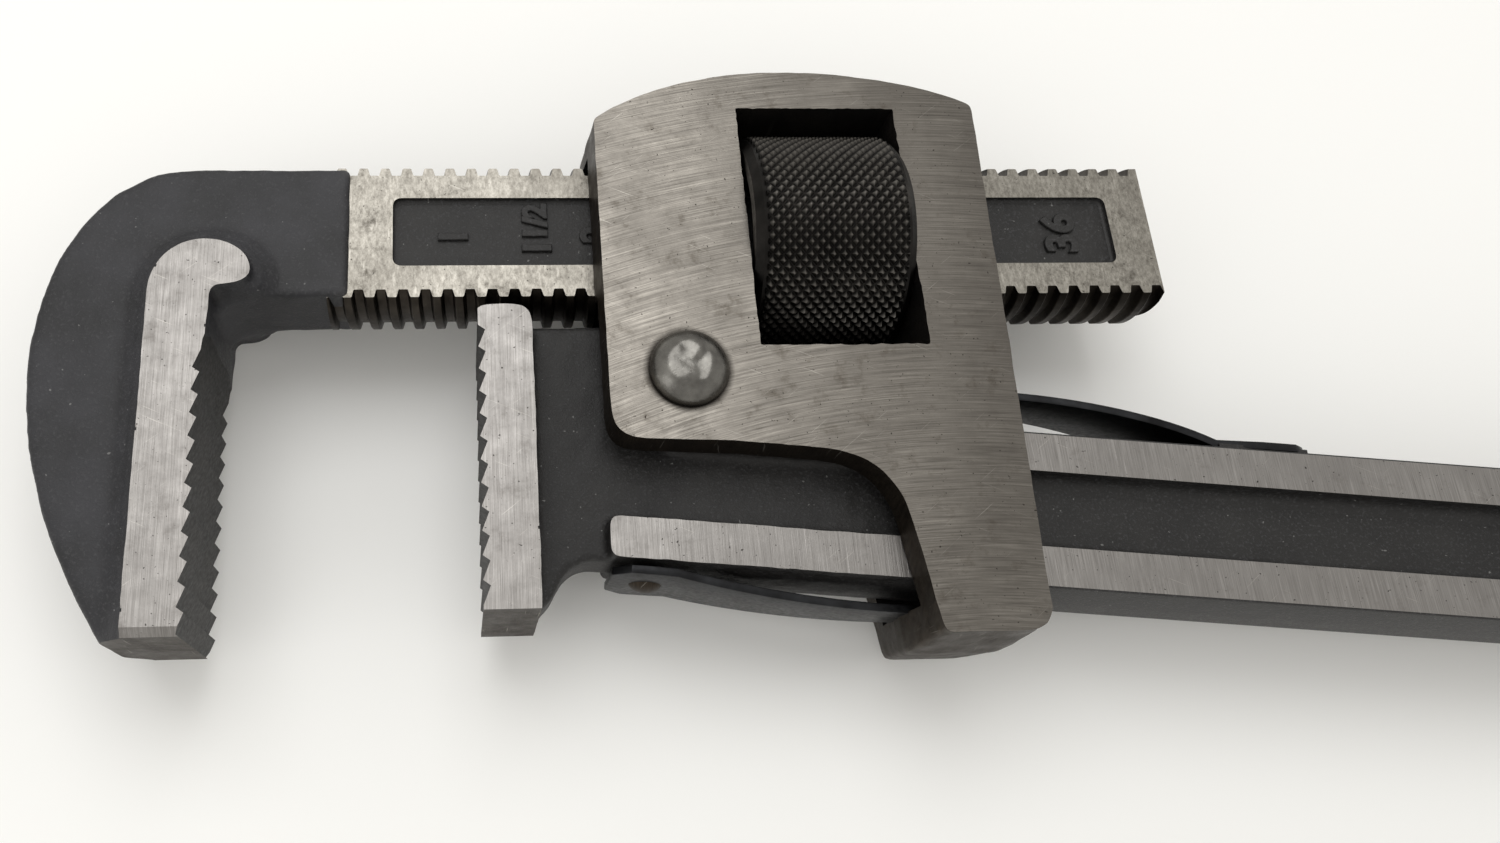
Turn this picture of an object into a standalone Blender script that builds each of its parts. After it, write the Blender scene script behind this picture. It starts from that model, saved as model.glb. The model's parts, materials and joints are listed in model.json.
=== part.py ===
"""Stillson pipe wrench, 900 mm (36 in) pattern, with the jaws set to a 1 1/2 in pipe.

The wrench lies flat: +X runs along the hook jaw's shank towards the handle's end, +Y from the
jaws' noses towards the shank, +Z out of the table. Sizes are in millimetres and are turned into
metres when a mesh is made. They are measured from the frame pin's axis, at the wrench's middle
plane; at the end the whole wrench is shifted so that the world origin is the middle of its base.
"""
import bpy
import bmesh
import math
from mathutils import Matrix, Vector

MM = 0.001

# ---- driving dimensions, in millimetres ---------------------------------------------------------
JAW_GAP = 47.3             # opening between the teeth's tips as the wrench is set
HEEL_X = -36.0             # plane of the heel jaw's tooth tips
JAW_HALF = 13.0            # half of the jaws' width across the teeth
HEEL_NOSE_Y = -40.3
HOOK_NOSE_Y = -43.2
HEEL_PAD = 9.3             # depth of the ground pad behind each row of teeth
HOOK_PAD = 9.7
TOOTH_COUNT = 12
TOOTH_PITCH = 4.1
TOOTH_DEPTH = 1.2
TOOTH_SHORT_FLANK = 0.9
HOOK_TEETH_TOP = 5.4       # height of each row's first tooth
HEEL_TEETH_TOP = 9.6

SHANK_Y = 31.3             # shank's axis above the frame pin's axis
SHANK_LEFT = -59.0         # where the thread starts, behind the hook
SHANK_LENGTH = 152.5
SHANK_HALF = 7.0           # half of the shank's thickness
THREAD_R = 15.1
THREAD_DEPTH = 1.35
THREAD_PITCH = 4.04
THREAD_TIP = 1.5           # ridge width at the crest
THREAD_BASE = 2.3          # ridge width at the root
HOOK_HALF = 8.0            # half of the forged hook's thickness away from the pad
HOOK_OVERLAP = 5.0         # how far the shank's bar runs into the hook
HOOK_BACK_X = -114.2       # outermost point of the hook's back
HOOK_RISE = 12.9           # top of the forged hook above the shank's axis
BURIED_R = 12.0            # radius of the bar's end inside the hook
PANEL_HALF = 7.05          # half height of the sunk panel on the shank's faces
PANEL_DEPTH = 1.2
PANEL_BORDER = 7.8
PANEL_CORNER_R = 1.6

NUT_R = 21.0
NUT_LENGTH = 29.2
NUT_LEFT = 13.5
NUT_CHAMFER = 1.6
NUT_CLEARANCE = 0.5        # between the nut and the frame's window
NUT_SHELF = 5.9            # from the nut down to the window's lower edge
THREAD_CLEARANCE = 0.25    # between the nut's thread and the shank's

FRAME_HALF = 15.0
FRAME_LEFT = -13.7
FRAME_RIGHT = 58.4
FRAME_CROWN = 8.6          # height of the arched top over the window
FRAME_SHOULDER = 3.6       # drop from the crown to the arch's ends
LOOP_LEFT = 38.3           # the leg's left side at its foot
LOOP_WALL = 6.0            # the leg's wall under the handle
BRIDGE_GAP = 0.9           # between the handle's head and the frame's bridge, along X
BRIDGE_CEILING = 3.1       # between the bar's top and the bridge over it
SHANK_CLEARANCE = 0.4      # between the shank and the frame's channel

BAR_HALF = 9.0             # half of the handle's width across its rails
BAR_HEIGHT = 28.0
BAR_SLOPE = math.radians(5.4)
BAR_LEFT_BOTTOM = (-14.0, -31.1)
HANDLE_REACH = 786.0       # the handle's far end
RAIL = 7.2                 # height of each ground rail
WEB_HALF = 5.0             # half thickness of the forged web
HEAD_CLEARANCE = 2.9       # between the handle's head and the thread above it
HEAD_RIGHT = 8.6
EYE_R = 17.0               # round end of the handle
HANG_HOLE_R = 9.0
HANDLE_CLEARANCE = 0.4     # between the handle's sides and the frame's cheeks

PIN_R = 4.6                # frame pin
PIN_HEAD_R = 6.9
PIN_HEAD_HEIGHT = 4.4
PIN_CLEARANCE = 0.3

SPRING_THICK = 1.5
SPRING_HALF = 8.6          # half of a leaf spring's width at its riveted end
SPRING_TIP_HALF = 4.2      # and where it meets the frame
LOWER_BOW = 1.7            # how far each spring stands off the bar at the frame's right side
UPPER_BOW = 9.6
SEAT_RISE = 0.6            # raised seat under the upper spring's riveted end
SEAT_REACH = 8.0           # half of the seat's length
RIVET_R = 1.7
RIVET_HEAD_R = 3.1
RIVET_HEAD_HEIGHT = 1.8
FIT = 0.3                  # gap between pieces that touch

# ---- values that follow from them ---------------------------------------------------------------
HOOK_X = HEEL_X - JAW_GAP
SHANK_RIGHT = SHANK_LEFT + SHANK_LENGTH
SHANK_TOP = SHANK_Y + THREAD_R
SHANK_BOTTOM = SHANK_Y - THREAD_R
THREAD_ROOT_R = THREAD_R - THREAD_DEPTH
HEAD_TOP = SHANK_BOTTOM - HEAD_CLEARANCE
NUT_RIGHT = NUT_LEFT + NUT_LENGTH
WINDOW_LEFT = NUT_LEFT - NUT_CLEARANCE
WINDOW_RIGHT = NUT_RIGHT + NUT_CLEARANCE
WINDOW_TOP = SHANK_Y + NUT_R + NUT_CLEARANCE
WINDOW_BOTTOM = SHANK_Y - NUT_R - NUT_SHELF
FRAME_TOP = WINDOW_TOP + FRAME_CROWN
CHEEK_GAP = BAR_HALF + HANDLE_CLEARANCE
SLOPE = -math.tan(BAR_SLOPE)
BAR_RISE = BAR_HEIGHT / math.cos(BAR_SLOPE)


def bar_bottom(x):
    """Underside of the handle's bar at x."""
    return BAR_LEFT_BOTTOM[1] + SLOPE * (x - BAR_LEFT_BOTTOM[0])


def bar_top(x):
    """Top of the handle's bar at x."""
    return bar_bottom(x) + BAR_RISE


# The springs follow the handle: each is flat where it is riveted and bows out to the frame.
LOWER_RIVET_X = -7.5
UPPER_RIVET_X = 104.0
LOWER_TOUCH = bar_bottom(FRAME_RIGHT) - LOWER_BOW
UPPER_TOUCH = bar_top(FRAME_RIGHT) + UPPER_BOW
LOOP_INSIDE = LOWER_TOUCH - SPRING_THICK / 2 - FIT
LOOP_BOTTOM = LOOP_INSIDE - LOOP_WALL


# ---- outline helpers ----------------------------------------------------------------------------
def arc(cx, cy, rx, ry, start, end, steps):
    """Points on an ellipse's arc, from start to end in degrees."""
    angles = [math.radians(start + (end - start) * i / steps) for i in range(steps + 1)]
    return [(cx + rx * math.cos(a), cy + ry * math.sin(a)) for a in angles]


def corner(before, at, after, radius, steps=4):
    """Points that round the corner at a point, for the sides that come from and go to two others."""
    p = Vector(at)
    u = (Vector(before) - p).normalized()
    v = (Vector(after) - p).normalized()
    reach = radius / math.tan(u.angle(v) / 2)
    start, end = p + u * reach, p + v * reach
    points = []
    for i in range(steps + 1):
        t = i / steps
        points.append(tuple(start * (1 - t) ** 2 + p * 2 * t * (1 - t) + end * t ** 2))
    return points


def bezier(a, b, c, d, steps):
    """Points on a cubic curve from a to d with handles b and c."""
    points = []
    for i in range(steps + 1):
        t = i / steps
        w = ((1 - t) ** 3, 3 * t * (1 - t) ** 2, 3 * t * t * (1 - t), t ** 3)
        points.append(tuple(sum(k * q[n] for k, q in zip(w, (a, b, c, d))) for n in (0, 1)))
    return points


def teeth(x, top, side, rake):
    """Tooth profile from the top down; side is the way the tips point and rake is +1 for tips
    that lean up and -1 for tips that lean down."""
    points = []
    for i in range(TOOTH_COUNT):
        y = top - i * TOOTH_PITCH
        valley = y - (TOOTH_PITCH - TOOTH_SHORT_FLANK if rake > 0 else TOOTH_SHORT_FLANK)
        points.append((x, y))
        points.append((x - side * TOOTH_DEPTH, valley))
    points.append((x, top - TOOTH_COUNT * TOOTH_PITCH))
    return points


# ---- mesh helpers -------------------------------------------------------------------------------
def clear_scene():
    for old in list(bpy.data.objects):
        bpy.data.objects.remove(old, do_unlink=True)


def make_material(name, color, roughness, metallic):
    mat = bpy.data.materials.new(name)
    mat.use_nodes = True
    shader = mat.node_tree.nodes["Principled BSDF"]
    shader.inputs["Base Color"].default_value = (*color, 1.0)
    shader.inputs["Roughness"].default_value = roughness
    shader.inputs["Metallic"].default_value = metallic
    return mat


def make_object(name, bm, mat=None, origin=(0.0, 0.0, 0.0)):
    """An object from a bmesh in millimetres, with its origin at a point of the wrench's frame."""
    bmesh.ops.translate(bm, verts=bm.verts, vec=-Vector(origin))
    bmesh.ops.scale(bm, verts=bm.verts, vec=(MM, MM, MM))
    bmesh.ops.recalc_face_normals(bm, faces=bm.faces)
    mesh = bpy.data.meshes.new(name)
    bm.to_mesh(mesh)
    bm.free()
    obj = bpy.data.objects.new(name, mesh)
    bpy.context.scene.collection.objects.link(obj)
    obj.location = Vector(origin) * MM
    if mat:
        mesh.materials.append(mat)
    mesh.shade_smooth()
    mesh.set_sharp_from_angle(angle=math.radians(30))
    return obj


def slab(points, low, high):
    """A closed outline in X and Y, extruded from low to high in Z."""
    bm = bmesh.new()
    face = bm.faces.new([bm.verts.new((x, y, low)) for x, y in points])
    moved = bmesh.ops.extrude_face_region(bm, geom=[face])
    top = [v for v in moved["geom"] if isinstance(v, bmesh.types.BMVert)]
    bmesh.ops.translate(bm, verts=top, vec=(0, 0, high - low))
    return bm


def side_slab(points, half):
    """A closed outline in X and Y, extruded both ways from the middle plane."""
    return slab(points, -half, half)


def helper(name, bm):
    """A piece that only adds to or cuts another one."""
    obj = make_object(name, bm)
    obj.hide_render = True
    obj.display_type = "WIRE"
    return obj


def combine(obj, other, operation):
    mod = obj.modifiers.new(other.name, "BOOLEAN")
    mod.operation = operation
    mod.solver = "EXACT"
    mod.object = other


def add(obj, name, bm):
    combine(obj, helper(name, bm), "UNION")


def cut(obj, name, bm):
    combine(obj, helper(name, bm), "DIFFERENCE")


def box(x0, x1, y0, y1, z0, z1):
    return slab([(x0, y0), (x1, y0), (x1, y1), (x0, y1)], z0, z1)


def turned(profile, axis_point, axis, segments):
    """A profile of (along, radius) pairs turned about an axis; its ends lie on the axis."""
    bm = bmesh.new()
    verts = [bm.verts.new((r, 0, a)) for a, r in profile]
    edges = [bm.edges.new(pair) for pair in zip(verts, verts[1:])]
    bmesh.ops.spin(bm, geom=verts + edges, cent=(0, 0, 0), axis=(0, 0, 1),
                   angle=2 * math.pi, steps=segments, use_merge=True)
    bmesh.ops.remove_doubles(bm, verts=bm.verts, dist=0.0001)
    turn = Vector((0, 0, 1)).rotation_difference(Vector(axis)).to_matrix().to_4x4()
    bmesh.ops.transform(bm, matrix=Matrix.Translation(axis_point) @ turn, verts=bm.verts)
    return bm


# ---- thread -------------------------------------------------------------------------------------
def ridge_profile(first, count, grow):
    """(along, radius) break points of trapezoid ridges; grow widens and deepens them for a tap."""
    points = []
    for i in range(count):
        middle = first + i * THREAD_PITCH
        for width, radius in ((-THREAD_BASE, THREAD_ROOT_R), (-THREAD_TIP, THREAD_R),
                              (THREAD_TIP, THREAD_R), (THREAD_BASE, THREAD_ROOT_R)):
            side = math.copysign(grow, width)
            points.append((middle + width / 2 + side, radius + grow))
    return points


def helix_shift(angle):
    """How far a right-hand thread has moved along +X at an angle from +Y towards +Z."""
    return THREAD_PITCH * angle / (2 * math.pi)


def shank_bar():
    """The shank's slab, with the thread's ridges on its rounded top and bottom. Its left end is
    buried in the hook."""
    lanes = [SHANK_HALF * k / 3 for k in range(-3, 4)]
    first = SHANK_LEFT + THREAD_PITCH / 2
    count = math.floor(SHANK_LENGTH / THREAD_PITCH - 0.6)
    profile = ridge_profile(first, count, 0.0)
    bm = bmesh.new()
    rows = []
    for side in (1, -1):
        for z in lanes if side > 0 else reversed(lanes):
            def place(along, radius, turn):
                y = side * math.sqrt(radius * radius - z * z)
                angle = math.atan2(z, y)
                if side < 0 and angle < 0:
                    angle += 2 * math.pi
                return bm.verts.new((along + turn * helix_shift(angle), SHANK_Y + y, z))

            row = [place(SHANK_LEFT - HOOK_OVERLAP, BURIED_R, 0)]
            row += [place(along, radius, 1) for along, radius in profile]
            row.append(place(SHANK_RIGHT, THREAD_ROOT_R, 0))
            rows.append(row)
    lane_count = len(lanes)
    for j, (near, far) in enumerate(zip(rows, rows[1:])):
        if j != lane_count - 1:
            for a, b, c, d in zip(near, near[1:], far[1:], far):
                bm.faces.new((a, b, c, d))
    # Each flat side is a strip between the roots, with one face for each ridge's end.
    for top, bottom in ((rows[lane_count - 1], rows[lane_count]), (rows[0], rows[-1])):
        roots = [0] + [4 * k + n for k in range(count) for n in (1, 4)] + [len(top) - 1]
        for i, j in zip(roots, roots[1:]):
            bm.faces.new((top[i], top[j], bottom[j], bottom[i]))
        for k in range(count):
            for row in (top, bottom):
                bm.faces.new(row[4 * k + 1:4 * k + 5])
    bm.faces.new([row[0] for row in rows])
    bm.faces.new([row[-1] for row in rows][::-1])
    return bm


def thread_tap(segments=24):
    """A full round of the same thread with clearance, longer than the nut."""
    shift = THREAD_PITCH * math.ceil((NUT_LEFT - SHANK_LEFT) / THREAD_PITCH - 1)
    first = SHANK_LEFT + THREAD_PITCH / 2 + shift - 2 * THREAD_PITCH
    count = math.ceil(NUT_LENGTH / THREAD_PITCH) + 4
    profile = ridge_profile(first, count, THREAD_CLEARANCE)
    bm = bmesh.new()
    rows = []
    for j in range(segments):
        angle = 2 * math.pi * j / segments
        rows.append([bm.verts.new((along + helix_shift(angle), SHANK_Y + radius * math.cos(angle),
                                   radius * math.sin(angle))) for along, radius in profile])
    per_turn = 4
    for j in range(segments - 1):
        for a, b, c, d in zip(rows[j], rows[j][1:], rows[j + 1][1:], rows[j + 1]):
            bm.faces.new((a, b, c, d))
    last, start = rows[-1], rows[0][per_turn:]
    for a, b, c, d in zip(last, last[1:], start[1:], start):
        bm.faces.new((a, b, c, d))
    ends = bm.verts.new((profile[0][0], SHANK_Y, 0)), bm.verts.new((profile[-1][0], SHANK_Y, 0))
    left = rows[0][:per_turn + 1][::-1] + [row[0] for row in rows[1:]]
    right = [row[-1] for row in rows] + rows[-1][-per_turn - 1:-1][::-1]
    for centre, loop in ((ends[0], left), (ends[1], right)):
        for a, b in zip(loop, loop[1:] + loop[:1]):
            bm.faces.new((centre, a, b))
    return bm


# ---- hook jaw -----------------------------------------------------------------------------------
def hook_outline():
    """The forged hook with its shank root, away from the pad."""
    top, under = SHANK_Y + HOOK_RISE, SHANK_Y - THREAD_ROOT_R - 0.3
    knee = (HOOK_X - 4.7, top)
    widest = (HOOK_BACK_X, 6.0)
    back = bezier(knee, (knee[0] - 15.0, top), (HOOK_BACK_X, top - 16.0), widest, 12)
    nose = HOOK_NOSE_Y + 0.4
    belly = bezier(widest, (HOOK_BACK_X, -12.0), (HOOK_X - 23.2, -29.0), (HOOK_X - 13.3, nose), 10)
    throat = bezier((HOOK_X - 1.7, 6.0), (HOOK_X - 1.6, 13.5), (HOOK_X + 2.0, under),
                    (HOOK_X + 10.0, under), 6)
    points = [(SHANK_LEFT, top)] + back + belly[1:]
    points += [(HOOK_X - 2.3, nose), (HOOK_X - 2.3, 3.0)] + throat
    return points + [(SHANK_LEFT, under)]


def hook_pad_outline():
    """The ground pad behind the hook's teeth, with its rounded lobe at the throat."""
    left = HOOK_X - HOOK_PAD
    row = teeth(HOOK_X, HOOK_TEETH_TOP, 1, 1)
    lobe = [(left + 0.8, 19.5), (left + 2.2, 24.0), (left + 5.6, 26.7), (left + 10.1, 27.5),
            (left + 14.7, 25.5), (left + 16.9, 21.9), (left + 16.2, 19.2), (left + 12.6, 18.0),
            (left + 10.3, 15.2), (HOOK_X - 0.2, 9.5)]
    foot = [(HOOK_X - 0.4, HOOK_NOSE_Y), (left, HOOK_NOSE_Y)]
    return lobe + row[:-1] + [(HOOK_X - 0.4, row[-1][1])] + foot


def build_hook_jaw(mat):
    jaw = make_object("hook_jaw", shank_bar(), mat)
    add(jaw, "hook_head", side_slab(hook_outline(), HOOK_HALF))
    add(jaw, "hook_pad", side_slab(hook_pad_outline(), JAW_HALF))
    left, right = SHANK_LEFT + PANEL_BORDER, SHANK_RIGHT - PANEL_BORDER
    low, high = SHANK_Y - PANEL_HALF, SHANK_Y + PANEL_HALF
    ring = [(left, low), (right, low), (right, high), (left, high)]
    sunk = []
    for i, point in enumerate(ring):
        sunk += corner(ring[i - 1], point, ring[(i + 1) % 4], PANEL_CORNER_R, 3)
    for name, z in (("panel_front", SHANK_HALF), ("panel_back", -SHANK_HALF)):
        cut(jaw, name, slab(sunk, z - PANEL_DEPTH, z + PANEL_DEPTH))
    return jaw


# ---- nut ----------------------------------------------------------------------------------------
def build_nut(mat):
    c = NUT_CHAMFER
    profile = [(NUT_LEFT, 0), (NUT_LEFT, NUT_R - c), (NUT_LEFT + c, NUT_R),
               (NUT_RIGHT - c, NUT_R), (NUT_RIGHT, NUT_R - c), (NUT_RIGHT, 0)]
    nut = make_object("adjusting_nut", turned(profile, (0, SHANK_Y, 0), (1, 0, 0), 48), mat,
                      (NUT_LEFT + NUT_LENGTH / 2, SHANK_Y, 0))
    cut(nut, "nut_thread", thread_tap())
    return nut


# ---- frame --------------------------------------------------------------------------------------
def frame_outline():
    """The frame's cheek: arched top, deep window side and the leg that loops the handle."""
    shoulder = FRAME_TOP - FRAME_SHOULDER
    left_top, right_top = (FRAME_LEFT, FRAME_TOP - 11.0), (FRAME_RIGHT, shoulder - 4.0)
    arch = bezier(right_top, (44.0, FRAME_TOP - 0.5), (8.0, FRAME_TOP + 5.5), left_top, 14)
    heel = corner(left_top, (FRAME_LEFT, -11.9), (10.0, -13.1), 5.0)
    throat = [(10.0, -13.1)] + bezier((22.0, -14.4), (30.0, -15.4), (34.5, -20.0), (35.6, -28.0), 7)
    foot = corner((35.6, -28.0), (LOOP_LEFT, LOOP_BOTTOM), (FRAME_RIGHT, LOOP_BOTTOM), 0.8, 2)
    rear = corner((LOOP_LEFT, LOOP_BOTTOM), (FRAME_RIGHT - 2.0, LOOP_BOTTOM), right_top, 2.0, 3)
    return heel + throat + foot + rear + arch[:-1] + [left_top]


def build_frame(mat):
    frame = make_object("frame", side_slab(frame_outline(), FRAME_HALF), mat)
    far = 40.0
    channel = SHANK_HALF + SHANK_CLEARANCE
    cut(frame, "shank_channel", box(FRAME_LEFT - far, FRAME_RIGHT + far, SHANK_BOTTOM - FIT,
                                    SHANK_TOP + SHANK_CLEARANCE, -channel, channel))
    bridge = HEAD_RIGHT + BRIDGE_GAP
    ceiling = bar_top(bridge) + BRIDGE_CEILING
    roof = UPPER_TOUCH + SPRING_THICK / 2 + FIT
    room = [(FRAME_LEFT - far, LOOP_INSIDE), (FRAME_RIGHT + far, LOOP_INSIDE),
            (FRAME_RIGHT + far, roof), (WINDOW_RIGHT + 1.5, roof), (WINDOW_RIGHT, ceiling),
            (bridge, ceiling), (bridge, SHANK_BOTTOM - FIT + 0.2), (FRAME_LEFT - far, SHANK_BOTTOM)]
    cut(frame, "handle_room", side_slab(room, CHEEK_GAP))
    cut(frame, "nut_window", box(WINDOW_LEFT, WINDOW_RIGHT, WINDOW_BOTTOM, WINDOW_TOP,
                                 -FRAME_HALF - 1, FRAME_HALF + 1))
    hole = PIN_R + PIN_CLEARANCE
    reach = FRAME_HALF + 1
    bore = turned([(-reach, 0), (-reach, hole), (reach, hole), (reach, 0)], (0, 0, 0), (0, 0, 1), 32)
    cut(frame, "frame_bore", bore)
    return frame


def build_frame_pin(mat):
    """A rivet through both cheeks, with a domed head on each side."""
    seat = FRAME_HALF + FIT
    dome = arc(seat, 0, PIN_HEAD_HEIGHT, PIN_HEAD_R, 90, 0, 6)
    top = [(along, radius) for along, radius in dome]
    top[-1] = (seat + PIN_HEAD_HEIGHT, 0)
    half = [(seat, PIN_R)] + top
    profile = [(-along, radius) for along, radius in reversed(half)] + half
    return make_object("frame_pin", turned(profile, (0, 0, 0), (0, 0, 1), 32), mat)


# ---- handle -------------------------------------------------------------------------------------
def heel_pad_outline():
    row = teeth(HEEL_X, HEEL_TEETH_TOP, -1, -1)
    right = HEEL_X + HEEL_PAD
    crown = corner((right, HEEL_NOSE_Y), (right, HEAD_TOP), (HEEL_X, HEAD_TOP), 2.0)
    crown += corner((right, HEAD_TOP), (HEEL_X, HEAD_TOP), (HEEL_X, 0.0), 3.2)
    return crown + row[:-1] + [(HEEL_X + 0.3, row[-1][1]), (HEEL_X + 0.3, HEEL_NOSE_Y),
                               (right, HEEL_NOSE_Y)]


def handle_outline(end_x):
    """The forged web: heel, head, bar and round end, a little inside the ground rails."""
    inset = 0.4
    left = HEEL_X + TOOTH_DEPTH + 1.0
    top = HEAD_TOP - inset
    eye = Vector((end_x, (bar_top(end_x) + bar_bottom(end_x)) / 2))
    heel = bezier((HEEL_X + HEEL_PAD, HEEL_NOSE_Y + 2.0), (HEEL_X + HEEL_PAD + 4.0, -37.0),
                  (HEEL_X + HEEL_PAD + 3.0, -31.5), (-18.5, bar_bottom(-18.5) + inset), 6)
    base = [(left, HEEL_NOSE_Y + inset), (HEEL_X + HEEL_PAD - 1.0, HEEL_NOSE_Y + inset)] + heel
    tip = arc(eye.x, eye.y, EYE_R - inset, EYE_R - inset, -115, 90, 14)
    head = corner((HEAD_RIGHT, -2.0), (HEAD_RIGHT, top), (left, top), 5.0)
    shoulder = [(HEAD_RIGHT + 6.0, bar_top(HEAD_RIGHT + 6.0) - inset), (HEAD_RIGHT, -2.0)]
    return base + tip + shoulder + head + [(left, top)]


def rail_outline(start, end_x, offset):
    """A ground rail along the bar, offset down from the bar's top; its ends are rounded."""
    height = RAIL / math.cos(BAR_SLOPE)
    ring = [(start, bar_top(start) - offset - height), (end_x, bar_top(end_x) - offset - height),
            (end_x, bar_top(end_x) - offset), (start, bar_top(start) - offset)]
    first = corner(ring[3], ring[0], ring[1], 1.5, 3)
    last = corner(ring[2], ring[3], ring[0], 1.5, 3)
    return first + ring[1:3] + last


def build_handle(mat):
    end_x = HANDLE_REACH - EYE_R
    handle = make_object("handle", side_slab(handle_outline(end_x), WEB_HALF), mat)
    add(handle, "heel_pad", side_slab(heel_pad_outline(), JAW_HALF))
    add(handle, "lower_rail", side_slab(rail_outline(BAR_LEFT_BOTTOM[0], end_x,
                                                     BAR_RISE - RAIL / math.cos(BAR_SLOPE)),
                                        BAR_HALF))
    add(handle, "upper_rail", side_slab(rail_outline(-3.0, end_x, 0.0), BAR_HALF - 0.05))
    boss_top = HEAD_TOP - 0.8
    boss = corner((HEAD_RIGHT - 0.3, -8.0), (HEAD_RIGHT - 0.3, boss_top), (-9.0, boss_top), 5.0)
    boss += [(-9.0, boss_top), (-9.0, -8.0), (HEAD_RIGHT - 0.3, -8.0)]
    add(handle, "head_boss", side_slab(boss, BAR_HALF - 0.1))
    seat = [(x, bar_top(x) + up) for x, up in
            ((UPPER_RIVET_X - SEAT_REACH, -1.0), (UPPER_RIVET_X + SEAT_REACH, -1.0),
             (UPPER_RIVET_X + SEAT_REACH, SEAT_RISE), (UPPER_RIVET_X - SEAT_REACH, SEAT_RISE))]
    add(handle, "spring_seat", side_slab(seat, SPRING_HALF - 0.1))
    rivet_hole = RIVET_R + FIT
    depth = RAIL + 4.0
    for name, x, low, high in (("lower_rivet_hole", LOWER_RIVET_X, -1.0, depth),
                               ("upper_rivet_hole", UPPER_RIVET_X, BAR_RISE - depth, BAR_RISE + 2)):
        axis, base = rivet_line(x)
        drill = [(low, 0), (low, rivet_hole), (high, rivet_hole), (high, 0)]
        cut(handle, name, turned(drill, base, axis, 12))
    reach = BAR_HALF + 2.0
    hole = PIN_R + PIN_CLEARANCE
    bore = [(-reach, 0), (-reach, hole), (reach, hole), (reach, 0)]
    cut(handle, "pin_bore", turned(bore, (0, 0, 0), (0, 0, 1), 32))
    face = BAR_HALF + 0.1
    eye = Vector((end_x, (bar_top(end_x) + bar_bottom(end_x)) / 2, 0))
    add(handle, "eye", turned([(-face, 0), (-face, EYE_R), (face, EYE_R), (face, 0)], eye,
                              (0, 0, 1), 32))
    drill = [(-reach, 0), (-reach, HANG_HOLE_R), (reach, HANG_HOLE_R), (reach, 0)]
    cut(handle, "hang_hole", turned(drill, eye, (0, 0, 1), 24))
    return handle


# ---- leaf springs and their rivets --------------------------------------------------------------
def rivet_line(x):
    """Direction square to the bar, and the point on the bar's underside, for a rivet at x."""
    axis = Vector((math.sin(BAR_SLOPE), math.cos(BAR_SLOPE), 0))
    return axis, Vector((x, bar_bottom(x), 0))


def leaf(name, centre_line, mat, rivet_x, tip_x):
    """A strip of spring steel bent along a centre line, with a hole for its rivet. It narrows
    from the rivet to its tip."""
    half = SPRING_THICK / 2
    sides = [[], []]
    for i, point in enumerate(centre_line):
        before = Vector(centre_line[max(i - 1, 0)])
        after = Vector(centre_line[min(i + 1, len(centre_line) - 1)])
        along = (after - before).normalized()
        normal = Vector((-along.y, along.x))
        sides[0].append(tuple(Vector(point) + normal * half))
        sides[1].append(tuple(Vector(point) - normal * half))
    bm = side_slab(sides[0] + sides[1][::-1], SPRING_HALF)
    narrowing = 1.0 - SPRING_TIP_HALF / SPRING_HALF
    for vert in bm.verts:
        share = (vert.co.x - rivet_x) / (tip_x - rivet_x)
        vert.co.z *= 1.0 - narrowing * min(max(share, 0.0), 1.0)
    spring = make_object(name, bm, mat)
    axis, base = rivet_line(rivet_x)
    hole = RIVET_R + FIT
    reach = BAR_RISE + 12.0
    drill = [(-12.0, 0), (-12.0, hole), (reach, hole), (reach, 0)]
    cut(spring, name + "_hole", turned(drill, base, axis, 12))
    return spring


def build_lower_spring(mat):
    gap = FIT + SPRING_THICK / 2

    def lie(x, off=0.0):
        return (x, bar_bottom(x) - gap - off)

    start, flat = LOWER_RIVET_X - 6.5, LOWER_RIVET_X + 4.5
    touch = (LOOP_LEFT + 1.0, LOWER_TOUCH)
    bow = bezier(lie(flat), lie(flat + 10.0, 1.8), (touch[0] - 17.3, touch[1] + 0.7), touch, 10)
    tail = [(touch[0] + 9.0, LOWER_TOUCH + 0.2), (touch[0] + 13.0, LOWER_TOUCH + 0.7)]
    return leaf("lower_leaf_spring", [lie(start), lie(LOWER_RIVET_X)] + bow + tail, mat,
                LOWER_RIVET_X, touch[0])


def build_upper_spring(mat):
    gap = SEAT_RISE + FIT + SPRING_THICK / 2

    def lie(x):
        return (x, bar_top(x) + gap)

    flat, end = UPPER_RIVET_X - 8.0, UPPER_RIVET_X + 8.0
    touch = (FRAME_RIGHT - 5.0, UPPER_TOUCH)
    nose = [(touch[0] - 7.0, UPPER_TOUCH - 1.4), (touch[0] - 3.0, UPPER_TOUCH - 0.3)]
    bow = bezier(touch, (touch[0] + 12.6, UPPER_TOUCH - 0.7), (flat - 11.0, UPPER_TOUCH - 4.8),
                 lie(flat), 10)
    return leaf("upper_leaf_spring", nose + bow + [lie(UPPER_RIVET_X), lie(end)], mat,
                UPPER_RIVET_X, touch[0])


def build_spring_rivet(name, x, upper, mat):
    """A round-head rivet that holds a leaf spring's end to the handle."""
    axis, base = rivet_line(x)
    side = 1 if upper else -1
    across = BAR_HEIGHT + SEAT_RISE if upper else 0.0
    seat = across + side * (2 * FIT + SPRING_THICK)
    foot = across - side * (RAIL + 3.0)
    dome = arc(seat, 0, side * RIVET_HEAD_HEIGHT, RIVET_HEAD_R, 90, 0, 4)
    dome[-1] = (seat + side * RIVET_HEAD_HEIGHT, 0)
    profile = [(foot, 0), (foot, RIVET_R), (seat, RIVET_R)] + dome
    return make_object(name, turned(profile, base, axis, 12), mat)


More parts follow.
